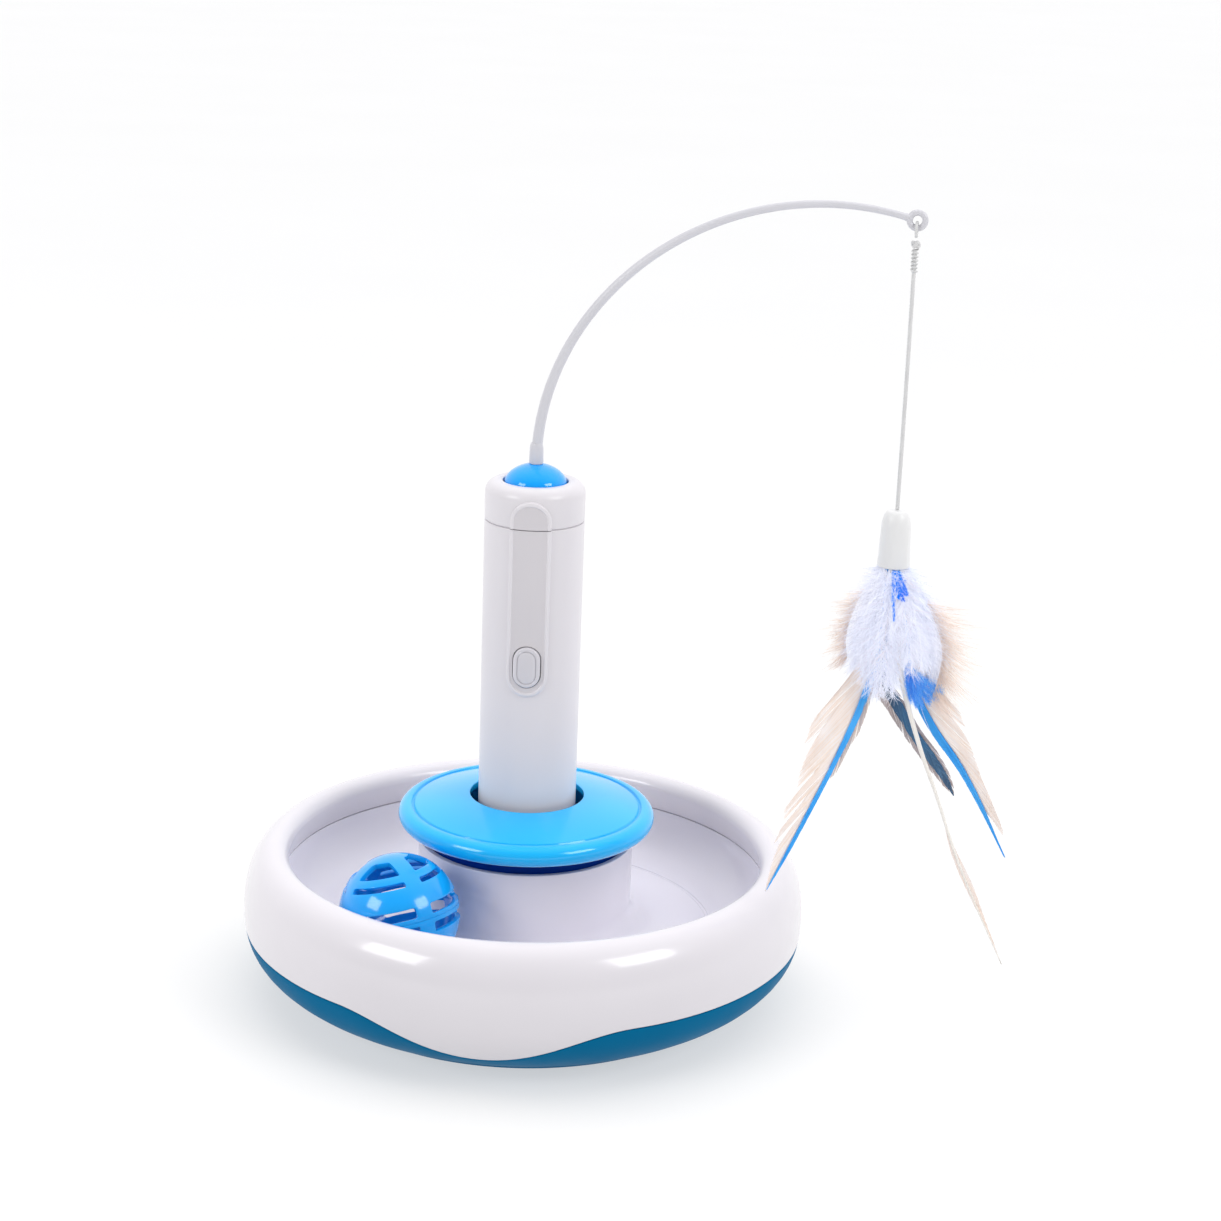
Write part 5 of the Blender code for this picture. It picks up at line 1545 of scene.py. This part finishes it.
def build_feather_right():
    """Long feather to the right: blue along its quill, peach on the outer side with a rounded end."""
    route = (
        (1.9, 0.0, 158.9), (8.5, 1.5, 124.0), (12.5, 2.5, 113.5), (18.0, 3.0, 104.0), (26.0, 4.0, 93.0),
        (34.5, 5.0, 78.5), (43.5, 7.0, 60.5),
    )
    outer = (
        (((0.3, 3.0), (0.4, 5.4), (0.45, 7.6), (0.51, 10.4), (0.56, 9.2)), (0.38, 0.36), 200),
        (((0.42, 5.0), (0.55, 7.6), (0.61, 7.3), (0.66, 5.9), (0.72, 4.7)), (0.34, 0.28), 230),
        (((0.6, 4.0), (0.72, 4.5), (0.82, 3.9), (0.88, 3.6), (0.915, 3.2), (0.925, 2.4)), (0.26, 0.2), 260),
    )
    vanes = [(-1, outline, angles, count, (1, 2), 21 + index, vane_barb_width, vane_lift, 12)
             for index, (outline, angles, count) in enumerate(outer)]
    blue_inner = ((0.33, 1.0), (0.44, 2.2), (0.5, 2.0), (0.6, 1.8), (0.69, 1.3), (0.88, 0.6), (1.0, 0.06))
    blue_outer = ((0.36, 0.5), (0.46, 0.8), (0.55, 1.0), (0.68, 1.0), (0.82, 0.8), (0.93, 0.4), (1.0, 0.05))
    raised = (
        (1, blue_inner, (0.15, 0.09), 340, (0, 0), 24, fine_barb_width, blue_lift, 20),
        (-1, blue_outer, (0.12, 0.08), 300, (0, 0), 25, fine_barb_width, blue_lift, 20),
    )
    facing = (-rod_across - rod_outwards * 0.2).normalized()
    build_feather("feather_right", ["blue_vane", "peach_vane", "peach_web"], route, facing,
                  long_quill_radii, vanes, raised, blue_raise)


def build_feather_dark():
    """Short slate feather between the long ones, with grey-brown edges."""
    route = (
        (0.0, 1.9, 158.9), (-0.5, 6.0, 122.0), (4.0, 8.0, 112.0), (10.0, 10.0, 101.0), (16.0, 12.5, 92.0),
        (21.0, 14.5, 84.5), (24.5, 17.0, 77.0),
    )
    left = (
        (0.32, 2.6), (0.4, 4.2), (0.46, 5.2), (0.53, 5.1), (0.63, 4.1), (0.74, 3.5), (0.84, 3.3), (0.94, 2.1),
        (1.0, 0.1),
    )
    right = ((0.4, 1.0), (0.62, 2.0), (0.72, 2.3), (0.8, 2.7), (0.89, 2.1), (0.97, 1.1), (1.0, 0.1))
    vanes = (
        (1, left, (0.3, 0.2), 320, (1, 2), 31, vane_barb_width, close_lift, 24),
        (-1, right, (0.22, 0.16), 300, (1, 2), 32, vane_barb_width, close_lift, 24),
    )
    raised = []
    for sign, rows, seed in ((1, left, 33), (-1, right, 34)):
        inside = [(share, distance * dark_inside_share) for share, distance in rows]
        raised.append((sign, inside, (0.24, 0.15), 300, (3, 0), seed, vane_barb_width, close_lift, 24))
    build_feather("feather_dark", ["slate_vane", "grey_vane", "brown_vane", "teal_vane"], route,
                  -rod_across, dark_quill_radii, vanes, raised, dark_raise)


def build_feather_spine():
    """Long stripped quill with a sparse ivory and peach vane near its tip."""
    route = (
        (0.0, -1.9, 158.9), (5.0, -3.5, 125.5), (8.0, -4.0, 115.0), (11.0, -4.0, 106.0), (15.0, -4.5, 95.5),
        (20.0, -4.5, 83.5), (27.0, -5.0, 65.5), (34.5, -5.0, 49.0), (45.5, -5.0, 27.0),
    )
    right = ((0.66, 0.1), (0.73, 0.9), (0.79, 1.8), (0.84, 1.5), (0.89, 1.0), (1.0, 0.05))
    left = ((0.62, 0.2), (0.7, 1.3), (0.76, 1.2), (0.83, 0.6), (0.88, 0.1))
    vanes = (
        (-1, right, (0.12, 0.08), 90, (1, 2), 41, fine_barb_width, close_lift, 6),
        (1, left, (0.12, 0.08), 60, (1, 2), 42, fine_barb_width, close_lift, 6),
    )
    build_feather("feather_spine", ["white_quill", "peach_vane", "peach_web"], route,
                  -rod_across, spine_quill_radii, vanes)


def down_path(azimuth, scale, length, start=0.0):
    """Curve of one down plume over the bulge of the skirt, as points from the neck to the hem."""
    points = []
    top = quill_start_height + down_top_rise
    for piece in range(down_path_pieces + 1):
        share = start + (1 - start) * piece / down_path_pieces
        swell = table_at(down_bulge_shares, share * length / down_length)
        radius = down_neck_radius + (down_radius * scale - down_neck_radius) * swell
        reach = radius * math.cos(azimuth) + down_lean * share
        points.append(lure_point(reach, radius * math.sin(azimuth), top - length * share))
    return points


def add_down_plume(bm, points, barb_length, count, slots, chance, barb_width, angles=(0.25, 1.25),
                   lifts=(-0.15, 0.3), second_share=0.15, tufts=0):
    """A plume of soft down: fine curling barbs on both sides of a thin quill.

    Barbs are shorter at the neck and hem, or gathered in a number of tufts where one is given.
    """
    last = len(points) - 1
    axis = Vector((knot_place.x, knot_place.y, 0))
    for index in range(count):
        share = index / (count - 1)
        at = share * last
        low = min(int(at), last - 1)
        point = points[low].lerp(points[low + 1], at - low)
        along = (points[low + 1] - points[low]).normalized()
        away = (Vector((point.x, point.y, 0)) - axis).normalized()
        side = along.cross(away).normalized() * (1 if index % 2 else -1)
        normal = side.cross(along).normalized()
        if normal.dot(away) < 0:
            normal = -normal
        length = barb_length * chance.uniform(0.6, 1.15)
        if tufts:
            length *= 0.45 + 0.55 * abs(math.sin(math.pi * tufts * share))
        else:
            length *= 0.4 + 0.6 * math.sin(math.pi * min(1.0, share * 0.85 + 0.12))
        slot = slots[1] if chance.random() < second_share else slots[0]
        angle = chance.uniform(*angles)
        curl = chance.uniform(-0.6, 1.0)
        lift = chance.uniform(*lifts)
        phase = chance.uniform(0, 2 * math.pi)
        out = along * math.cos(angle) + side * math.sin(angle)
        across = along * -math.sin(angle) + side * math.cos(angle)
        barb = []
        widths = []
        for step in shares(down_barb_pieces):
            wave = math.sin(phase + down_wave_turn * step) - math.sin(phase)
            barb.append(point + out * (length * step)
                        - across * (length * curl * down_curl_share * step ** 2)
                        + normal * (length * (lift * step ** 1.5 + down_wave_share * wave)))
            widths.append(barb_width * (1 - down_taper_share * step))
        facing = (normal + across * chance.uniform(-0.8, 0.8)).normalized()
        add_ribbon(bm, barb, widths, facing, slot)
    add_ribbon(bm, points, [down_quill_width] * len(points), rod_across, slots[0])


def build_down():
    """White down in three layers around the quills, fuller to the right than to the left."""
    chance = random.Random(5)
    bm = bmesh.new()
    for plumes, spread, reach, barb, count in down_layers:
        for plume in range(plumes):
            azimuth = 2 * math.pi * (plume + chance.uniform(-0.4, 0.4)) / plumes
            fullness = down_fullness + down_side_fullness * math.cos(azimuth)
            length = down_length * reach * chance.uniform(0.82, 1.0)
            if math.cos(azimuth - fluff_azimuth) > fluff_open_share:
                length *= fluff_down_share
            points = down_path(azimuth, spread * fullness * chance.uniform(0.9, 1.06), length)
            add_down_plume(bm, points, barb * MM, count, (0, 1), chance, down_barb_width, (0.2, 1.3),
                           (0.0, 0.85), 0.03)
    feather_piece("down_barbs", bm, ["white_down", "peach_vane"], "down_skirt")


def build_webs():
    """Loose peach webs that stand out to both sides from the white down."""
    # Azimuths, share of the bulge, length and barb length in millimetres, seed, number of tufts
    webs = (("web_right", (0.02, 0.2, -0.16), 1.0, 42.0, 10.5, 61, 5),
            ("web_left", (3.0, 3.2), 0.9, 33.0, 6.0, 62, 3))
    for name, azimuths, scale, length, barb, seed, tufts in webs:
        chance = random.Random(seed)
        bm = bmesh.new()
        for azimuth in azimuths:
            points = down_path(azimuth, scale, length * MM, 0.25)
            add_down_plume(bm, points, barb * MM, 380, (0, 1), chance, down_barb_width, (0.05, 0.4),
                           (0.5, 1.5), 0.3, tufts)
        feather_piece(name, bm, ["peach_web", "peach_vane"], None)


def build_blue_tuft():
    """Royal blue tuft under the ferrule."""
    chance = random.Random(71)
    bm = bmesh.new()
    front = -math.pi / 2
    # Azimuth from the front, length and barb length in millimetres, number of barbs
    tufts = ((0.28, 8.0, 1.8, 260), (0.4, 6.5, 1.6, 200), (0.15, 7.5, 1.4, 180), (0.06, 14.0, 1.0, 160))
    for offset, length, barb, count in tufts:
        points = down_path(front + offset, tuft_scale, length * MM)
        add_down_plume(bm, points, barb * MM, count, (0, 0), chance, tuft_barb_width)
    feather_piece("blue_tuft", bm, ["royal_blue"], "blue_plume")


def build_azure_fluff():
    """Patch of azure fluff low on the right, its plumes fanned out from one root."""
    chance = random.Random(72)
    bm = bmesh.new()
    root, *tips = (lure_point(*(value * MM for value in place)) for place in (
        (6.0, -1.0, 128.0), (8.5, -1.0, 115.5), (10.5, -1.2, 114.0), (12.5, -1.4, 114.0), (14.5, -1.4, 115.5),
        (16.5, -1.2, 117.0), (18.0, -1.0, 119.5),
    ))
    for tip in tips:
        points = []
        for share in shares(fluff_pieces):
            points.append(root.lerp(tip, share) + rod_across * (-fluff_bow * math.sin(math.pi * share)))
        add_down_plume(bm, points, fluff_barb_length, 460, (0, 1), chance, down_barb_width, (0.25, 0.9),
                       (-0.1, 0.3), 0.3)
    feather_piece("azure_fluff", bm, ["fluff_blue", "blue_vane"], None)


# Carried-over CAD nodes


def dress_nodes():
    """Give every CAD node its own finish; those that no piece stands for still show."""
    slots = {entry["node"]: entry["material_slot"] for entry in frame["record"]["subparts"]}
    for name, node in frame["nodes"].items():
        node.data.materials.clear()
        node.data.materials.append(looks[slots[name]])


# Stage


def build_stage():
    """Plain pale floor."""
    bm = bmesh.new()
    bmesh.ops.create_grid(bm, x_segments=1, y_segments=1, size=floor_half_size)
    floor = add_object("floor", new_mesh("floor", bm))
    graph = Graph(bpy.data.materials.new("pale_floor"))
    graph.feed("Base Color", graph.mixed(graph.noise(floor_scale), *floor_shades))
    graph.settle(Roughness=0.9, Specular_IOR_Level=0.1)
    graph.settle(Emission_Color=(1.0, 1.0, 1.0, 1.0), Emission_Strength=floor_glow)
    floor.data.materials.append(graph.owner)


def build_world():
    """Pale room, dimmer on the side of the button than behind the toy."""
    graph = Graph(bpy.data.worlds.new("studio"))
    split = graph.nodes.new("ShaderNodeSeparateXYZ")
    graph.links.new(graph.nodes.new("ShaderNodeTexCoord").outputs["Generated"], split.inputs["Vector"])
    share = graph.ranged(split.outputs["Y"], 0.0, 1.0, *room_fade)
    tint = graph.mixed(share, scaled(room_colour, room_front_share), room_colour)
    graph.links.new(tint, graph.nodes["Background"].inputs["Color"])
    bpy.context.scene.world = graph.owner
    bpy.context.scene.view_settings.view_transform = "Standard"


def add_light(name, kind, power, turn, place=(0, 0, 0)):
    """A light that shines along its own -Z, turned so by the quaternion."""
    data = bpy.data.lights.new(name, kind)
    data.energy = power
    light = add_object(name, data)
    light.location = place
    light.rotation_euler = turn.to_euler()
    return light


def build_lights():
    """Softboxes to the front left and front right, and a broad light from above."""
    middle = Vector((0, 0, lit_height))
    for name, azimuth, elevation, height in softboxes:
        raised = Matrix.Rotation(math.radians(-elevation), 3, "Y")
        way = Matrix.Rotation(math.radians(azimuth), 3, "Z") @ raised
        place = middle + way @ Vector((softbox_distance, 0, 0))
        power = softbox_power * height / softbox_width
        softbox = add_light(name, "AREA", power, (middle - place).to_track_quat("-Z", "Y"), place)
        softbox.data.shape = "RECTANGLE"
        softbox.data.size = softbox_width
        softbox.data.size_y = height
    tilt = Matrix.Rotation(overhead_azimuth, 3, "Z") @ Matrix.Rotation(overhead_tilt, 3, "Y")
    toward = tilt @ Vector((0, 0, 1))
    overhead = add_light("overhead", "SUN", overhead_power, toward.to_track_quat("Z", "Y"))
    overhead.data.angle = overhead_spread
    overhead.visible_glossy = False


def build_camera():
    """Camera where the photograph was taken from."""
    data = bpy.data.cameras.new("camera")
    data.lens = camera_lens_mm
    data.sensor_width = sensor_width_mm
    data.clip_start = camera_clip_start
    camera = add_object("camera", data)
    forward = Vector((-math.sin(camera_yaw) * math.cos(camera_pitch),
                      math.cos(camera_yaw) * math.cos(camera_pitch), -math.sin(camera_pitch)))
    right = forward.cross(Vector((0, 0, 1))).normalized()
    up = right.cross(forward)
    rolled_right = right * math.cos(camera_roll) + up * math.sin(camera_roll)
    rolled_up = up * math.cos(camera_roll) - right * math.sin(camera_roll)
    turn = Matrix((rolled_right, rolled_up, -forward)).transposed()
    camera.matrix_world = Matrix.Translation(camera_place) @ turn.to_4x4()
    bpy.context.scene.camera = camera


build_camera()
build_string()
build_base()
build_ball()
build_handle()
build_button()
build_battery_cap()
build_rotor()
build_ferrule()
build_feather_left()
build_feather_right()
build_feather_dark()
build_feather_spine()
build_down()
build_webs()
build_blue_tuft()
build_azure_fluff()
dress_nodes()
build_stage()
build_world()
build_lights()
